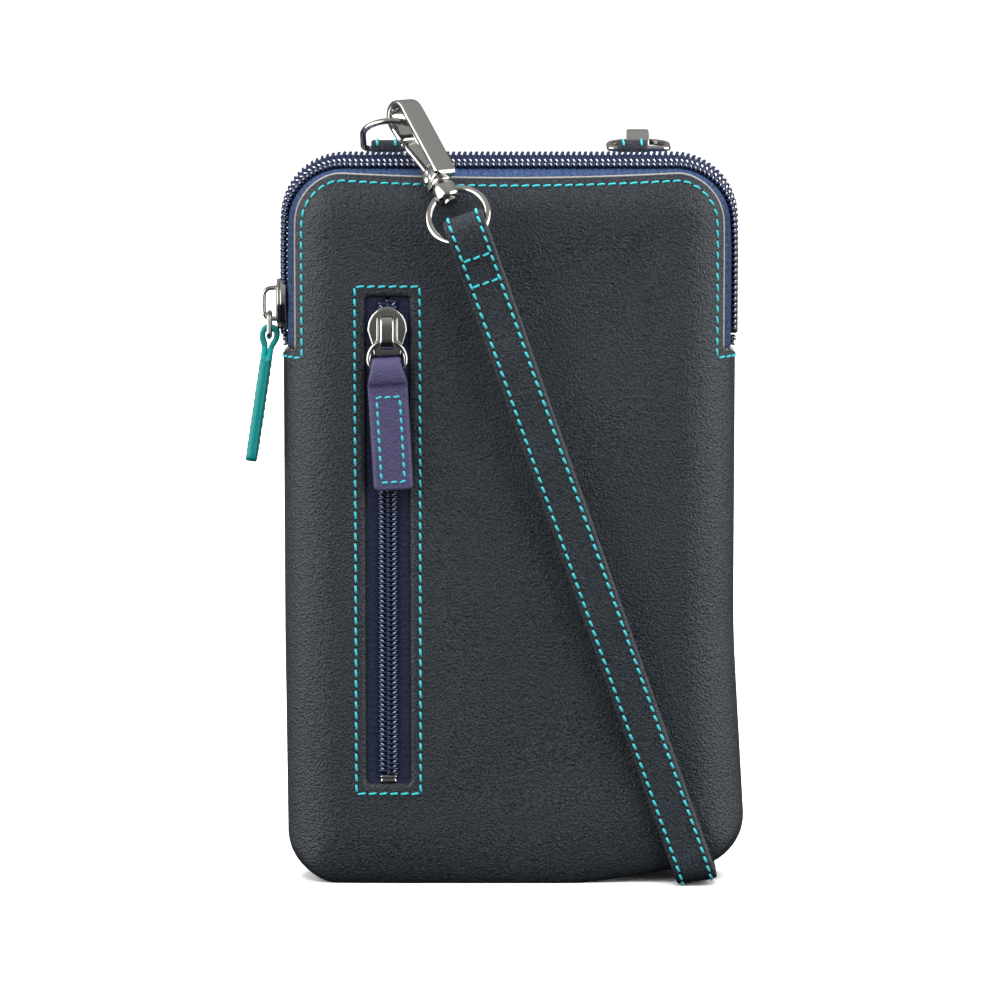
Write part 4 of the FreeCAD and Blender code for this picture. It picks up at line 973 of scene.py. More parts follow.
outward = on_skin(leather_skin, np.full(COLUMNS, 20.0)) - on_skin(leather_skin, np.full(COLUMNS, 60.0))
outward = unit(outward * (X_RIGHT + Z_UP))
slope_at = np.radians(edge_angle + SEAM_SLOPE_AT)
seam_angle = edge_angle + np.degrees(SEAM_IN / np.hypot(EDGE_RUN * np.sin(slope_at),
                                                        HALF_DEPTH * np.cos(slope_at)))


def wing_seam(column):
    """The short level seam below a notch, from the rim in to the upright seam."""
    angles = np.linspace(4, seam_angle[column] - 2.0, 14)
    return on_skin(leather_skin, angles, column), rim_normal(angles, outward[column])


arch_columns = slice(RIGHT_NOTCH - 1, LEFT_NOTCH + 2)
seams = [(on_skin(leather_skin, seam_angle)[arch_columns], rim_normal(seam_angle, outward)[arch_columns]),
         wing_seam(RIGHT_NOTCH - 1), wing_seam(LEFT_NOTCH + 1)]
sew("front_panel_stitches", seams, "pouch")
sew("back_panel_stitches", [(path * MIRROR_Y, out * MIRROR_Y) for path, out in seams], "pouch", slant=-SLANT)

cut_columns = slice(RIGHT_NOTCH, LEFT_NOTCH + 1)
edge_line = on_skin(leather_skin, edge_angle + CUT_EDGE_IN)[cut_columns]
edge_out = rim_normal(edge_angle, outward)[cut_columns]
edge_rings = carry(circle(CUT_EDGE, 8), edge_line, unit(np.cross(edge_out, tangents(edge_line))), edge_out)
# Pale bead along each panel's cut: painted highlight.
for side, mirror in (("front", 1.0), ("back", MIRROR_Y)):
    piece(side + "_panel_cut_edge", skinned(edge_rings * mirror), cut_edge_highlight, "black_leather", "pouch")

window_x = WINDOW_X + (WINDOW_HALF + WINDOW_SEAM) * np.array([-1, 1, 1, -1, -1])
window_z = np.array([WINDOW_LOW - WINDOW_SEAM, WINDOW_HIGH + WINDOW_SEAM])[[0, 0, 1, 1, 0]]
corners = xyz(window_x, -HALF_DEPTH, window_z)
steps = np.linspace(0, 1, 40)[:, None]
window_seams = [(a + steps * (b - a), -Y_BACK) for a, b in zip(corners, corners[1:])]
sew("pocket_window_stitches", window_seams, "pouch")
print("panel seam", round(lengths(seams[0][0])[-1]), "mm over the arch")

# %% [markdown]
# The zip that arches over the top is a nylon coil zip: each tooth is one turn of a monofilament coil
# sewn to a woven tape. On the real pouch the chain lies square to the sides and rolls towards the
# front over the top, because the mouth is pressed flat. The arch is one path with its inward
# direction, and a share between 0 at the sides and 1 along the top sets how far the chain is rolled.

# %% Arch of the zip
ZIP_LOW = NOTCH_Z + 0.4
ROLL = math.radians(37)
ROLL_EARLY = 10.0
ROLL_LATE = 14.0
CHAIN_IN = 0.85
CHAIN_TOP_IN = 0.75
CHAIN_TOP_FORWARD = 1.7


def arch_line():
    """Dense points up the left side, over two quarter circles and a straight top, and down the right side."""
    straight = BAG_HEIGHT - TOP_CORNER
    reach = HALF_WIDTH - TOP_CORNER
    turn = np.linspace(0, math.pi / 2, 60)[1:-1]
    up = xyz(-HALF_WIDTH, 0.0, np.linspace(ZIP_LOW, straight, 40))
    left = xyz(-reach - TOP_CORNER * np.cos(turn), 0.0, straight + TOP_CORNER * np.sin(turn))
    top = xyz(np.linspace(-reach, reach, 80), 0.0, BAG_HEIGHT)
    mirror = np.array([-1.0, 1.0, 1.0])
    return np.concatenate([up, left, top, (left * mirror)[::-1], (up * mirror)[::-1]])


arch = arch_line()
arch_total = lengths(arch)[-1]


def arch_frames(places):
    """Point, direction, inward direction and roll share of the arch at distances along it."""
    way = unit(along(arch, tangents(arch), places))
    near = np.minimum(places, arch_total - places)
    side = BAG_HEIGHT - TOP_CORNER - ZIP_LOW
    share = smooth((near - side + ROLL_EARLY) / (TOP_CORNER * 1.57 + ROLL_LATE))
    return along(arch, arch, places), way, xyz(way[:, 2], 0.0, -way[:, 0]), share[:, None]


def chain_frames(places):
    """The chain's middle, its direction, the way across it to the front row, and its outward normal."""
    spot, way, inward, share = arch_frames(places)
    centre = spot + inward * (CHAIN_IN + CHAIN_TOP_IN * share) - Y_BACK * CHAIN_TOP_FORWARD * share
    roll = ROLL * share
    front = -Y_BACK * np.cos(roll) + inward * np.sin(roll)
    return centre, way, front, -inward * np.cos(roll) - Y_BACK * np.sin(roll)


print("zip arch", round(arch_total), "mm")

# %% [markdown]
# One tooth of a few dozen faces is copied along each side of the chain, and the two rows mesh half a
# pitch apart. Short slanted pale beads on top are the thread that sews the coil to the tape, drawn near
# white as painted glints, and a second row on the tops of the turns is painted glint alone.

# %% Main zip teeth
COIL_PITCH = 1.39
COIL_START = 3.4
COIL_END = 3.2
COIL_THREAD_END = 3.6
COIL_BEAD = bead(0.95, 0.2)
COIL_BEAD_LEAN = 0.55


def tooth(outer, height, radius, pitch):
    """One turn of coil as a bent six-sided tube: up from the tape, across to the middle, down at its head."""
    y = np.array([1.0, 1.04, 0.88, 0.5, 0.12, -0.1, -0.12]) * outer
    z = np.array([-0.5, -0.05, 0.42, 0.5, 0.5, 0.22, -0.25]) * height
    x = np.array([-0.16, -0.12, -0.08, 0.0, 0.06, 0.1, 0.12]) * pitch
    swell = np.array([1, 1, 1, 1, 1.1, 1.25, 0.8])
    path = xyz(x, y, z)
    side = unit(np.cross(tangents(path), X_RIGHT))
    return small_rod(carry(scaled(circle(radius, 6), swell, swell), path, X_RIGHT, side))


def coil_row(name, shape, frames, side, material, slot, node):
    """Copies of one tooth along a chain; side is 1 for the front row and -1 for the other."""
    centre, way, across, out = frames
    points, faces = copies(shape, centre, way * side, across * side, out)
    piece(name, (points, faces.tolist()), material, slot, "pouch", node)


def sewing_and_glint_beads(name, frames, side, spots, material, slot):
    """Slanted pale beads at (across, out) spots by each place on the chain: the thread that sews a coil down,
    drawn light as painted glints, and painted glints on the tops of the turns.
    """
    centre, way, across, out = (np.broadcast_to(part, frames[0].shape) for part in frames)
    slanted = unit(COIL_BEAD_LEAN * way + across * side)
    centres = np.concatenate([centre + side * across * reach + out * rise for reach, rise in spots])
    axes = [np.tile(axis, (len(spots), 1)) for axis in (slanted, unit(np.cross(out, slanted)), out)]
    points, faces = copies(COIL_BEAD, centres, *axes)
    piece(name, (points, faces.tolist()), material, slot, "pouch")


main_tooth = tooth(2.2, 1.3, 0.54, COIL_PITCH)
for row, side, shift in (("front", 1, 0.0), ("back", -1, 0.5)):
    places = np.arange(COIL_START + shift * COIL_PITCH, arch_total - COIL_END, COIL_PITCH)
    coil_row("main_zip_" + row + "_teeth", main_tooth, chain_frames(places), side, blue_coil, "blue_coil",
             "main_zip_" + row + "_coil")
    between = np.arange(COIL_START + (0.5 - shift) * COIL_PITCH, arch_total - COIL_THREAD_END, COIL_PITCH)
    # Lower spot: sewing thread drawn near white as painted glint; upper spot, on the tops of the turns:
    # painted glint only.
    sewing_and_glint_beads("main_zip_" + row + "_coil_thread", chain_frames(between), side,
                  ((1.95, 0.42), (1.25, 1.08)), pale_sewing_glint, "blue_coil")
    print("main zip", row, "row", len(places), "teeth")

# %% [markdown]
# Each tape starts under its coil, bows out and tucks in under the cut edge of its panel. Six points
# across give that section at every step along the arch, and cutting their corners makes it smooth.

# %% Main zip tapes
TAPE_THICK = 0.5
TAPE_STEP = 1.2
TAPE_ACROSS = 14
CUT_DEEP = 7.84
CUT_TOP_DEEPER = 1.49
# Distance from the middle of the chain, and distance below it, of the points under the coil.
UNDER_COIL = ((0.3, 0.95), (1.4, 0.98), (2.75, 0.8))


def tape_section(places, side):
    """The tape at each place: out under its coil from the chain's middle, up to the panel and under it."""
    centre, _, front, out = chain_frames(places)
    spot, _, inward, share = arch_frames(places)
    under = [centre - front * side * across - out * below for across, below in UNDER_COIL]
    cut_in = SIDE_CUT + (TOP_CUT - SIDE_CUT) * share
    cut_deep = CUT_DEEP + CUT_TOP_DEEPER * share
    lip = spot + inward * (cut_in + 0.75) + Y_BACK * side * (cut_deep - 1.35)
    tuck = spot + inward * (cut_in + 2.6) + Y_BACK * side * cut_deep
    bow = 0.5 * (under[-1] + lip) - inward * 0.55 + Y_BACK * side * 0.2
    return np.stack([*under, bow, lip, tuck], axis=1)


def tape(name, rows, places, material, slot, node):
    """A woven strip through rows of points, with its length and width as UV and a thickness."""
    across = np.concatenate([[0.0], np.cumsum(np.linalg.norm(np.diff(rows, axis=1), axis=2).mean(axis=0))])
    made = piece(name, (rows, grid_faces(*rows.shape[:2]).tolist()), material, slot, "pouch", node,
                 uv=xyz(places[:, None], across))
    solid = made.modifiers.new("thickness", "SOLIDIFY")
    solid.thickness = TAPE_THICK * MM
    solid.offset = 0.0


tape_places = np.linspace(0, arch_total, int(arch_total / TAPE_STEP))
for row, side in (("front", -1), ("back", 1)):
    rows = softened(tape_section(tape_places, side), 3)
    rows = rows[:, np.linspace(0, rows.shape[1] - 1, TAPE_ACROSS).astype(int)]
    tape("main_zip_" + row + "_cloth", rows, tape_places, blue_tape, "blue_zip_tape",
         "main_zip_" + row + "_tape")
print("main zip tapes", len(tape_places), "steps")

# %% [markdown]
# Zip stops are strips of nickelled metal crimped over the last turns: a soft-cornered clip with a waist.

# %% Zip stops
POCKET_COIL_Y = -11.2


def clips(spots, way, across, out, length, width, height):
    """Crimped clips: a rounded section whose size waists in the middle, carried a short way at each spot."""
    share = np.linspace(-0.5, 0.5, 9)
    waist = 1 - 0.16 * np.cos(math.pi * share) ** 2 - 0.5 * (2 * np.abs(share)) ** 10
    profile = scaled(round_rect(width, height, 4, 16), waist, waist)
    return joined([rod(profile, spot + share[:, None] * length * way, across, out) for spot in spots])


main_spots = [np.array([side * (HALF_WIDTH - CHAIN_IN), 0.0, ZIP_LOW + 1.35]) for side in (-1, 1)]
pocket_spot = np.array([WINDOW_X, POCKET_COIL_Y - 0.05, WINDOW_LOW + 1.05])
piece("main_zip_stops", clips(main_spots, Z_UP, Y_BACK, X_RIGHT, 2.5, 4.5, 1.6), nickel, "nickel_plate",
      "pouch", "main_zip_end_stops")
piece("pocket_zip_stop", clips([pocket_spot], Z_UP, X_RIGHT, Y_BACK, 1.9, 4.3, 0.9), nickel,
      "nickel_plate", "pouch", "pocket_zip_end_stop")
print("zip stops", len(main_spots) + 1)

# %% [markdown]
# The front pocket has the same kind of zip laid flat behind its window, in darker cloth, with a cloth
# pocket behind it. Tapes are plain ribbed strips here and the teeth are the same formula at a smaller
# size.

# %% Pocket zip
POCKET_PITCH = 1.22
POCKET_TAPE_Y = -10.5
TAPE_PAST_WINDOW = 4.8
TAPE_BOW = 0.12
BAG_CLOTH = 0.62
pocket_tooth = tooth(2.15, 0.75, 0.42, POCKET_PITCH)
pocket_axes = (Z_UP, X_RIGHT, -Y_BACK)
tape_z = np.linspace(WINDOW_LOW - TAPE_PAST_WINDOW, WINDOW_HIGH + TAPE_PAST_WINDOW, 90)
tape_y = POCKET_TAPE_Y + TAPE_BOW * np.cos(np.linspace(0, math.pi, 10))
for row, side, shift in (("right", 1, 0.0), ("left", -1, 0.5)):
    z = np.arange(WINDOW_LOW + 2.4 + shift * POCKET_PITCH, WINDOW_HIGH - 0.4, POCKET_PITCH)
    spots = xyz(WINDOW_X, POCKET_COIL_Y, z)
    coil_row("pocket_zip_" + row + "_teeth", pocket_tooth, (spots, *pocket_axes), side, navy_coil,
             "navy_coil", "pocket_zip_" + row + "_coil")
    between = spots[:-1] + Z_UP * POCKET_PITCH / 2
    # Grey beads of sewing thread on the pocket coil, drawn light as painted glints.
    sewing_and_glint_beads("pocket_zip_" + row + "_coil_thread", (between, *pocket_axes), side, ((1.5, 0.62),),
                  grey_sewing_glint, "navy_coil")
    rows = xyz(WINDOW_X + side * np.linspace(0.4, 9.9, 10), tape_y, tape_z[:, None])
    tape("pocket_zip_" + row + "_cloth", rows, tape_z, navy_tape, "navy_zip_tape",
         "pocket_zip_" + row + "_tape")
bag_low, bag_high = (np.array(corner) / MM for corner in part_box("pocket_bag"))
bag_line = xyz(0.0, (bag_low[1] + bag_high[1]) / 2, np.linspace(bag_low[2] + 0.1, bag_high[2] - 0.1, 40))
piece("pocket_cloth", rod(round_rect(bag_high[0] - bag_low[0], BAG_CLOTH, 14, 40), bag_line), lining_cloth,
      "lining_cloth", "pouch", "pocket_bag")
print("pocket zip", len(z), "teeth a row")

# %% [markdown]
# A slider is die-cast: a shield-shaped plate that is broad where the two rows part and narrow where
# they leave joined, side rails that wrap the coil, and a bridge that holds the pull. Each part is a
# soft-cornered section carried along the slider, with its width taken from the outline at that height.

# %% Sliders
SLIDER_LENGTH = 12.0
SHIELD_AT = np.array([0.0, 0.25, 1.6, 4.0, 6.4, 8.4, 10.0, 11.1, 11.8, 12.0])
SHIELD_HALF = np.array([2.7, 3.2, 3.4, 4.1, 4.8, 4.5, 3.7, 2.6, 1.5, 0.8])
PLATE_Y = 0.75
PLATE_THICK = 1.1
RAIL_TOP = 0.5
RIDGE_X = 2.35
RIDGE_Y = 1.28
RIDGE = 0.26
BRIDGE_RISE = 3.4
BRIDGE_HALF = 3.8
MAIN_SLIDER_Z = 136.2
POCKET_SLIDER_Z = 130.6
POCKET_SLIDER_Y = -11.7


def slider_shape(half_width, rail_low, rail_in):
    """A slider in its own frame: x across the chain, y out of it, z along it from the narrow end."""
    z = SLIDER_LENGTH * (0.5 - 0.5 * np.cos(np.linspace(0, math.pi, 40)))
    half = np.interp(z, SHIELD_AT, SHIELD_HALF) * half_width / SHIELD_HALF.max()
    ends = 1 - 0.35 * np.abs(2 * z / SLIDER_LENGTH - 1) ** 12
    shapes = [rod(scaled(round_rect(2, PLATE_THICK, 3.5, 32), half, ends), xyz(0.0, PLATE_Y, z))]
    outer = half - 0.15
    inner = np.minimum(rail_in, outer - 0.5)
    rail = scaled(round_rect(1, RAIL_TOP - rail_low, 4, 16), outer - inner)
    thin = 1 - 0.7 * np.abs(np.linspace(-1, 1, 14)) ** 6
    for side in (-1, 1):
        shapes.append(rod(rail, xyz(side * (outer + inner) / 2, (rail_low + RAIL_TOP) / 2, z)))
        ridge_line = xyz(side * RIDGE_X, RIDGE_Y, np.linspace(2.0, 9.6, 14))
        shapes.append(rod(scaled(circle(RIDGE, 8), thin, thin), ridge_line))
    turn = np.linspace(0, math.pi, 41)
    c, s = np.cos(turn), np.sin(turn)
    bridge = xyz(0.0, 1.0 + BRIDGE_RISE * np.abs(s) ** 0.5,
                 SLIDER_LENGTH / 2 - BRIDGE_HALF * np.sign(c) * np.abs(c) ** 0.5)
    shapes.append(bent_band(round_rect(3.3, 1.0, 3.2, 24), bridge, X_RIGHT))
    web = xyz(0.0, rail_low / 2, np.linspace(0.3, SLIDER_LENGTH - 0.3, 10))
    shapes.append(rod(round_rect(0.3, 1.0 - rail_low, 4, 8), web))
    return joined(shapes)


main_place = np.array([-HALF_WIDTH, 0.0, MAIN_SLIDER_Z])
pocket_place = np.array([WINDOW_X, POCKET_SLIDER_Y, POCKET_SLIDER_Z])
for name, shape, origin, axes in (
        ("main", slider_shape(4.5, -1.25, 2.5), main_place, (Y_BACK, -X_RIGHT, Z_UP)),
        ("pocket", slider_shape(4.85, -0.5, 2.4), pocket_place, (-X_RIGHT, -Y_BACK, Z_UP))):
    piece(name + "_zip_slider", placed(shape, origin, axes), nickel, "nickel_plate", name + "_slider",
          name + "_slider")
print("sliders on", MAIN_SLIDER_Z, "and", POCKET_SLIDER_Z, "mm")

# %% [markdown]
# Both pulls are strips of dyed leather folded over a wire and sewn shut. The fold is a band carried
# up one layer, round the wire and down the other, left open round the wire as a stiff strip stands;
# below it the two layers go on as one thicker band. The strip is drawn in to a neck at the wire.

# %% Leather pulls
PULL_SEAM_LIFT = 1.1
MAIN_TILT = math.radians(8.7)
POCKET_LEAN = math.radians(3.2)


def strip(flat, widths, thick, hold, up, wide):
    """A flat band along (distance up, distance aside) points; widths is read at each distance up."""
    line = hold + flat[:, :1] * up + flat[:, 1:] * np.cross(up, wide)
    reach = lengths(line)
    ends = np.minimum(reach, reach[-1] - reach)
    width = np.interp(flat[:, 0], *widths) - 1.2 * np.clip(1 - ends, 0, 1) ** 2
    return bent_band(scaled(band_profile(1.0, 16), width, thick), line, wide)


def pull(name, material, slot, up, wide, thick, low, merge, loop, top, widths, seam):
    """A folded strip, open round the wire and one band below where it merges, with a sewn box on each face."""
    hold = joint_place(name + "_swing")
    layer = thick / 2
    leg = [(merge - 2.0, layer / 2 - 0.05), (merge, layer / 2), (merge + 2.2, layer / 2 + 0.1),
           (-0.6, loop), (top * 0.6, loop), (top, loop * 0.55)]
    fold = softened(np.array(leg + [(rise, -aside) for rise, aside in leg[::-1]]), 4)
    tail = xyz(np.linspace(low, merge + 0.5, 40), 0.0)
    strips = [strip(flat, widths, deep, hold, up, wide) for flat, deep in ((fold, layer), (tail, thick))]
    piece(name + "_strip", joined(strips), material, slot, name, name + "_leather")
    ring = round_box(*seam, 0.5, 3, 10)
    ring = np.concatenate([ring, ring[:1]])
    path = hold + ring[:, :1] * wide + ring[:, 1:] * up
    facing = np.cross(up, wide)
    seams = [(path + facing * face * PULL_SEAM_LIFT, facing * face) for face in (-1, 1)]
    sew(name + "_stitches", seams, name, length=1.7, pitch=2.15, radius=0.3)
    print(name, "holds at", hold.round(2))


main_up = xyz(math.sin(MAIN_TILT), 0.0, math.cos(MAIN_TILT))
pocket_up = xyz(-math.sin(POCKET_LEAN), 0.0, math.cos(POCKET_LEAN))
pocket_wide = xyz(math.cos(POCKET_LEAN), 0.0, math.sin(POCKET_LEAN))
pull("main_pull", teal_leather, "teal_leather", main_up, Y_BACK, thick=2.7, low=-30.6, merge=-4.6,
     loop=1.75, top=2.1, widths=([-30, -5.2, -2.6, 2], [9.5, 9.5, 3.7, 3.7]), seam=(2.9, -28.2, -7.0))
pull("pocket_pull", purple_leather, "purple_leather", pocket_up, pocket_wide, thick=2.4, low=-27.4, merge=-4.0,
     loop=1.6, top=4.2, widths=([-27, -1.6, 3.6, 5], [9.7, 9.7, 7.1, 7.1]), seam=(2.8, -25.4, -4.7))

# %% [markdown]
# Each D-ring hangs in a leather tab sewn to the back panel. The tab is one strip that climbs the back,
# rolls over the bar of the ring and tucks under the zip tape, so its path is that climb and roll.

# %% Ring tabs
TAB_X = sum(corner[0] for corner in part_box("right_ring_tab")) / 2 / MM
TAB_WIDTH = 7.3
TAB_ROW = 2.2
TAB_HALF_THICK = 0.5
TAB_PATH = [(12.75, 167.6), (12.6, 169.6), (11.9, 172.4), (10.4, 175.2), (8.9, 177.2), (8.1, 178.9),
            (7.7, 180.5), (6.4, 181.2), (5.1, 180.7), (4.7, 179.2), (5.2, 177.9), (6.4, 177.45)]
tab_flat = softened(np.array(TAB_PATH), 4)
for name, x in (("left", -TAB_X), ("right", TAB_X)):
    line = xyz(x, tab_flat[:, 0], tab_flat[:, 1])
    piece(name + "_tab", bent_band(band_profile(TAB_WIDTH, 14), line, X_RIGHT), black_leather,
          "black_leather", "pouch", name + "_ring_tab")
    out = unit(np.cross(tangents(line), X_RIGHT))
    lifted = line + out * TAB_HALF_THICK
    reach = lengths(line)
    on_roll = (reach > reach[-1] - 9.5) & (reach < reach[-1] - 3.0)
    on_tail = (reach > 1.2) & (reach < 8.5)
    seams = [(lifted[keep] + side * TAB_ROW * X_RIGHT, out[keep]) for side in (-1, 1)
             for keep in (on_roll, on_tail)]
    sew(name + "_tab_stitches", seams, "pouch", length=1.8, pitch=2.3, radius=0.3)
print("tabs at", round(TAB_X, 2), "mm either side")

# %% [markdown]
# The clasps are trigger snap hooks: a flat spine that curls over into a hook, a barrel that turns on a
# collar on the strap's ring, and a sprung gate on a riveted pin. The spine is a soft-cornered bar
# carried up and round the curl, barrel and collar are turned on a lathe, and all are placed by the
# axes of their joints. The little spring is a helix from the spine to the gate.

# %% Snap hooks
HOOK_BEND = 3.45
CURL_Z = 30.6
TIP_Z = 25.6
SPINE_LOW = 10.0
SPINE_THICK = 1.5
BARREL_LOW = 9.2
BARREL_Y = -0.25
# Radius and height of the turned parts, from the foot up.
BARREL = [(0.01, BARREL_LOW), (2.45, BARREL_LOW), (2.7, BARREL_LOW + 0.3), (2.7, 10.5), (2.5, 10.75),
          (2.7, 11.0), (2.7, 12.6), (2.5, 13.1), (1.4, 13.3), (0.01, 13.3)]
COLLAR = [(0.01, 4.6), (2.2, 4.6), (2.8, 5.0), (3.0, 5.6), (3.0, 8.2), (2.8, 8.7), (2.3, 9.0), (0.01, 9.0)]
CHEEK_X = 2.2
CHEEK_THICK = 0.9
RIVET_X = 2.6
PIN = np.array([1.3, 12.0])
PIN_EYE = 1.15
GATE_TIP = np.array([3.3, 25.1])
GATE_THICK = 1.4
GATE_BOW = 0.25


def lathe(profile, centre_y):
    """A profile of (radius, height) turned about an upright axis at y = centre_y."""
    radius, height = np.array(profile).T[..., None]
    ring = circle(1.0, 28)
    return skinned(xyz(radius * ring[:, 0], centre_y + radius * ring[:, 1], height))


def bar(flat, widths, thick, power):
    """A soft-cornered bar along a path of (y, z) points, with its width along x from widths at each point."""
    line = xyz(0.0, flat[:, 0], flat[:, 1])
    return bent_band(scaled(round_rect(1.0, thick, power, 24), widths), line, X_RIGHT)


def about_pin(x, radii, count):
    """Circles of some radii about the pin's axis, at some places along it, as one skinned shape."""
    ring = np.array(radii)[:, None, None] * circle(1.0, count)
    return skinned(xyz(np.array(x)[:, None], PIN[0] + ring[..., 0], PIN[1] + ring[..., 1]))


def hook_shape():
    """The hook in its own frame: spine at negative y, curl on top, tip at positive y, barrel about z."""
    turn = np.linspace(math.pi, 0, 25)
    flat = np.concatenate([xyz(-HOOK_BEND, np.linspace(SPINE_LOW, CURL_Z, 16)[:-1]),
                           xyz(HOOK_BEND * np.cos(turn), CURL_Z + HOOK_BEND * np.sin(turn)),
                           xyz(HOOK_BEND, np.linspace(CURL_Z, TIP_Z, 7)[1:])])
    reach = lengths(flat)
    widths = np.interp(reach, [0, 1.2, 18, reach[-1] - 3, reach[-1]], [4.6, 5.9, 5.9, 5.0, 4.2])
    shapes = [bar(flat, widths, SPINE_THICK, 7.0), lathe(BARREL, BARREL_Y)]
    taper = 1 - 0.5 * np.abs(np.linspace(-0.6, 1, 14)) ** 6
    dome = np.linspace(0.05, math.pi / 2, 7)[::-1]
    for side in (-1, 1):
        cheek = xyz(side * CHEEK_X, 0.8, np.linspace(BARREL_LOW + 0.2, 14.2, 14))
        neck = xyz(side * CHEEK_X, np.linspace(-3.6, 0.2, 8), 11.9)
        shapes += [rod(scaled(round_rect(CHEEK_THICK, 3.4, 5, 16), 1.0, taper), cheek),
                   about_pin(side * (RIVET_X + 0.5 * np.cos(dome)), PIN_EYE * np.sin(dome), 16),
                   rod(round_rect(CHEEK_THICK, 3.2, 4, 16), neck, X_RIGHT, Z_UP)]
    return joined(shapes)


def gate_shape():
    """The gate in the hook's frame: a slightly bowed bar from its eye on the pin up to the hook's tip."""
    share = np.linspace(0, 1, 20)
    flat = PIN + share[:, None] * (GATE_TIP - PIN)
    flat[:, 0] -= GATE_BOW * np.sin(math.pi * share)
    widths = np.interp(share, [0, 0.1, 0.5, 0.85, 1], [2.6, 3.0, 3.8, 4.4, 3.4])
    eye = about_pin([-1.55, -1.45, 1.45, 1.55], PIN_EYE * np.array([0.88, 1.0, 1.0, 0.88]), 20)
    return joined([bar(flat, widths, GATE_THICK, 4.0), eye])


hook, gate = hook_shape(), gate_shape()
print("hook", len(hook[1]), "faces, gate", len(gate[1]), "faces")

# %% Clasps in place
SPRING_WIRE = 0.3
SPRING_RADIUS = 0.7
SPRING_TURNS = 5
SPRING_BACK = -2.4
SPRING_FRONT = 0.65
SPRING_Z = 15.6


def spring_shape():
    """The gate's spring in the hook's frame: a thin tube along a helix from the spine to the gate."""
    turn = np.linspace(0, 2 * math.pi * SPRING_TURNS, 20 * SPRING_TURNS + 1)
    out = xyz(np.cos(turn), 0.0, np.sin(turn))
    line = SPRING_RADIUS * out + xyz(0.0, np.linspace(SPRING_BACK, SPRING_FRONT, len(turn)), SPRING_Z)
    return rod(circle(SPRING_WIRE / 2, 8), line, out, unit(np.cross(tangents(line), out)))


# The end of each piece's name, its shape, and the ends of the names of its body and its nodes.
clasp_pieces = (("_snap_hook", hook, "_hook", ["_hook"]), ("_snap_gate", gate, "_gate", ["_gate"]),
                ("_swivel_collar", lathe(COLLAR, 0.0), "_strap_ring", []),
                ("_snap_spring", spring_shape(), "_hook", ["_gate_spring"]))
for side in ("left", "right"):
    origin = joint_place(side + "_hook_spin")
    z_dir, x_dir = joint_way(side + "_hook_spin"), joint_way(side + "_gate_press")
    axes = np.array([x_dir, np.cross(z_dir, x_dir), z_dir])
    for name, shape, body, nodes in clasp_pieces:
        made = piece(side + name, placed(shape, origin, axes), nickel, "nickel_plate", side + body,
                     *[side + node for node in nodes])
    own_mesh(made)
    print(side, "clasp at", origin.round(1))

# %% [markdown]
# The rings, posts, pins and the wire link are true shapes already, so they stay as they are and take
# the nickel finish.

# %% Nickel on the plain fittings
for name, node in frame["nodes"].items():
    if not node.hide_render:
        node.data.materials.clear()
        node.data.materials.append(nickel)
        node.data.polygons.foreach_set("material_index", np.zeros(len(node.data.polygons), dtype=np.int32))
        print("nickel on", name)

# %% [markdown]
# The studio is a white sweep with soft light. A wide sky-like sun lights the floor evenly to white, a
# high panel in front and one behind light the two faces of the bag, and two upright panels at the
# sides lay the long soft highlights on the rolled edges. The world goes from dark grey below to white
# above, so that polished metal has something to reflect.

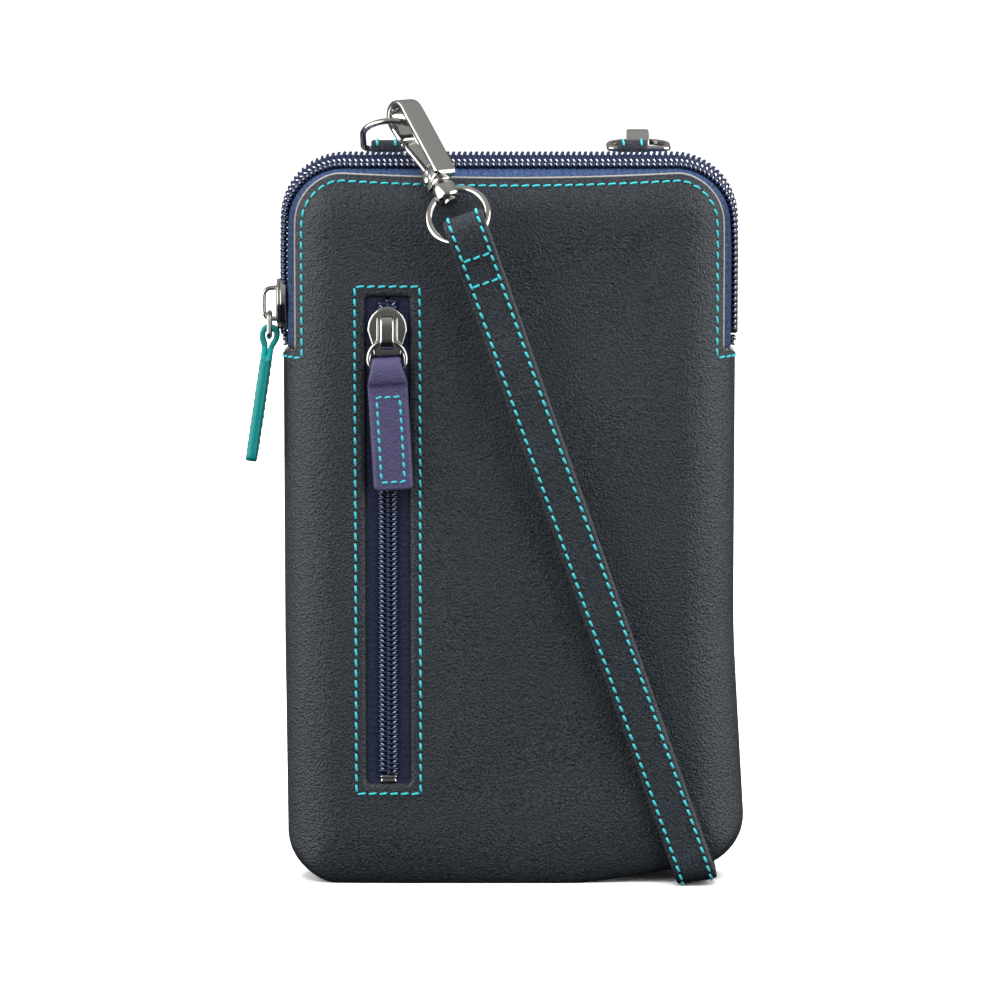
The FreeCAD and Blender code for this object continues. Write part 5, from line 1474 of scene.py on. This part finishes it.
# %% Floor and world
FLOOR_HALF = 40.0
SKY_STRENGTH = 0.5
floor_mesh = bpy.data.meshes.new("floor")
floor_corners = FLOOR_HALF * np.array([(-1, -1, 0), (1, -1, 0), (1, 1, 0), (-1, 1, 0)])
floor_mesh.from_pydata(floor_corners.tolist(), [], [(0, 1, 2, 3)])
floor_paint, tree, shader = new_material("white_sweep_paper")
feed(shader, {"Base Color": linear("#fbfbfb"), "Roughness": 0.9, "Specular IOR Level": 0.0})
floor_mesh.materials.append(floor_paint)
floor = bpy.data.objects.new("floor", floor_mesh)
scene.collection.objects.link(floor)
floor.visible_diffuse = False
floor.visible_glossy = False

world = bpy.data.worlds.new("studio")
world.use_nodes = True
tree = world.node_tree
place = add(tree, "ShaderNodeTexCoord")["Generated"]
height = add(tree, "ShaderNodeSeparateXYZ", {"Vector": place})["Z"]
share = add(tree, "ShaderNodeMapRange", {"Value": height, "From Min": -0.5, "From Max": 1.0})["Result"]
sky = add(tree, "ShaderNodeMix", {"Factor": share, "A": linear("#25282c"), "B": linear("#ffffff")},
          data_type="RGBA")["Result"]
feed(tree.nodes["Background"], {"Color": sky, "Strength": SKY_STRENGTH})
scene.world = world
print("floor", 2 * FLOOR_HALF, "m across")

# %% Lights
SUN_POWER = 2.8
SUN_ANGLE = math.radians(110)
HIGH_POWER = 24.0
SIDE_POWER = 9.5
PANEL_AWAY = 0.75
PANEL_AIM = (0.0, 0.0, 0.1)


def light(name, kind, energy, place, aim, **settings):
    """A lamp at a place, turned to an aim."""
    data = bpy.data.lights.new(name, kind)
    data.energy = energy
    for key, value in settings.items():
        setattr(data, key, value)
    lamp = bpy.data.objects.new(name, data)
    lamp.location = place
    lamp.rotation_euler = (Vector(aim) - Vector(place)).to_track_quat("-Z", "Y").to_euler()
    scene.collection.objects.link(lamp)
    return lamp


above = light("sky_light", "SUN", SUN_POWER, (0.0, -0.3, 2.0), (0.0, 0.0, 0.0), angle=SUN_ANGLE)
above.visible_glossy = False
for name, side in (("front_light", -1), ("rear_light", 1)):
    high = light(name, "AREA", HIGH_POWER, (0.0, side * PANEL_AWAY, 1.5), PANEL_AIM, shape="RECTANGLE",
                 size=1.2, size_y=0.8)
    high.visible_glossy = False
for name, side in (("left_light", -1), ("right_light", 1)):
    light(name, "AREA", SIDE_POWER, (side * PANEL_AWAY, -0.3, 0.25), PANEL_AIM, shape="RECTANGLE",
          size=1.1, size_y=0.9)
print("lights", len(bpy.data.lights))
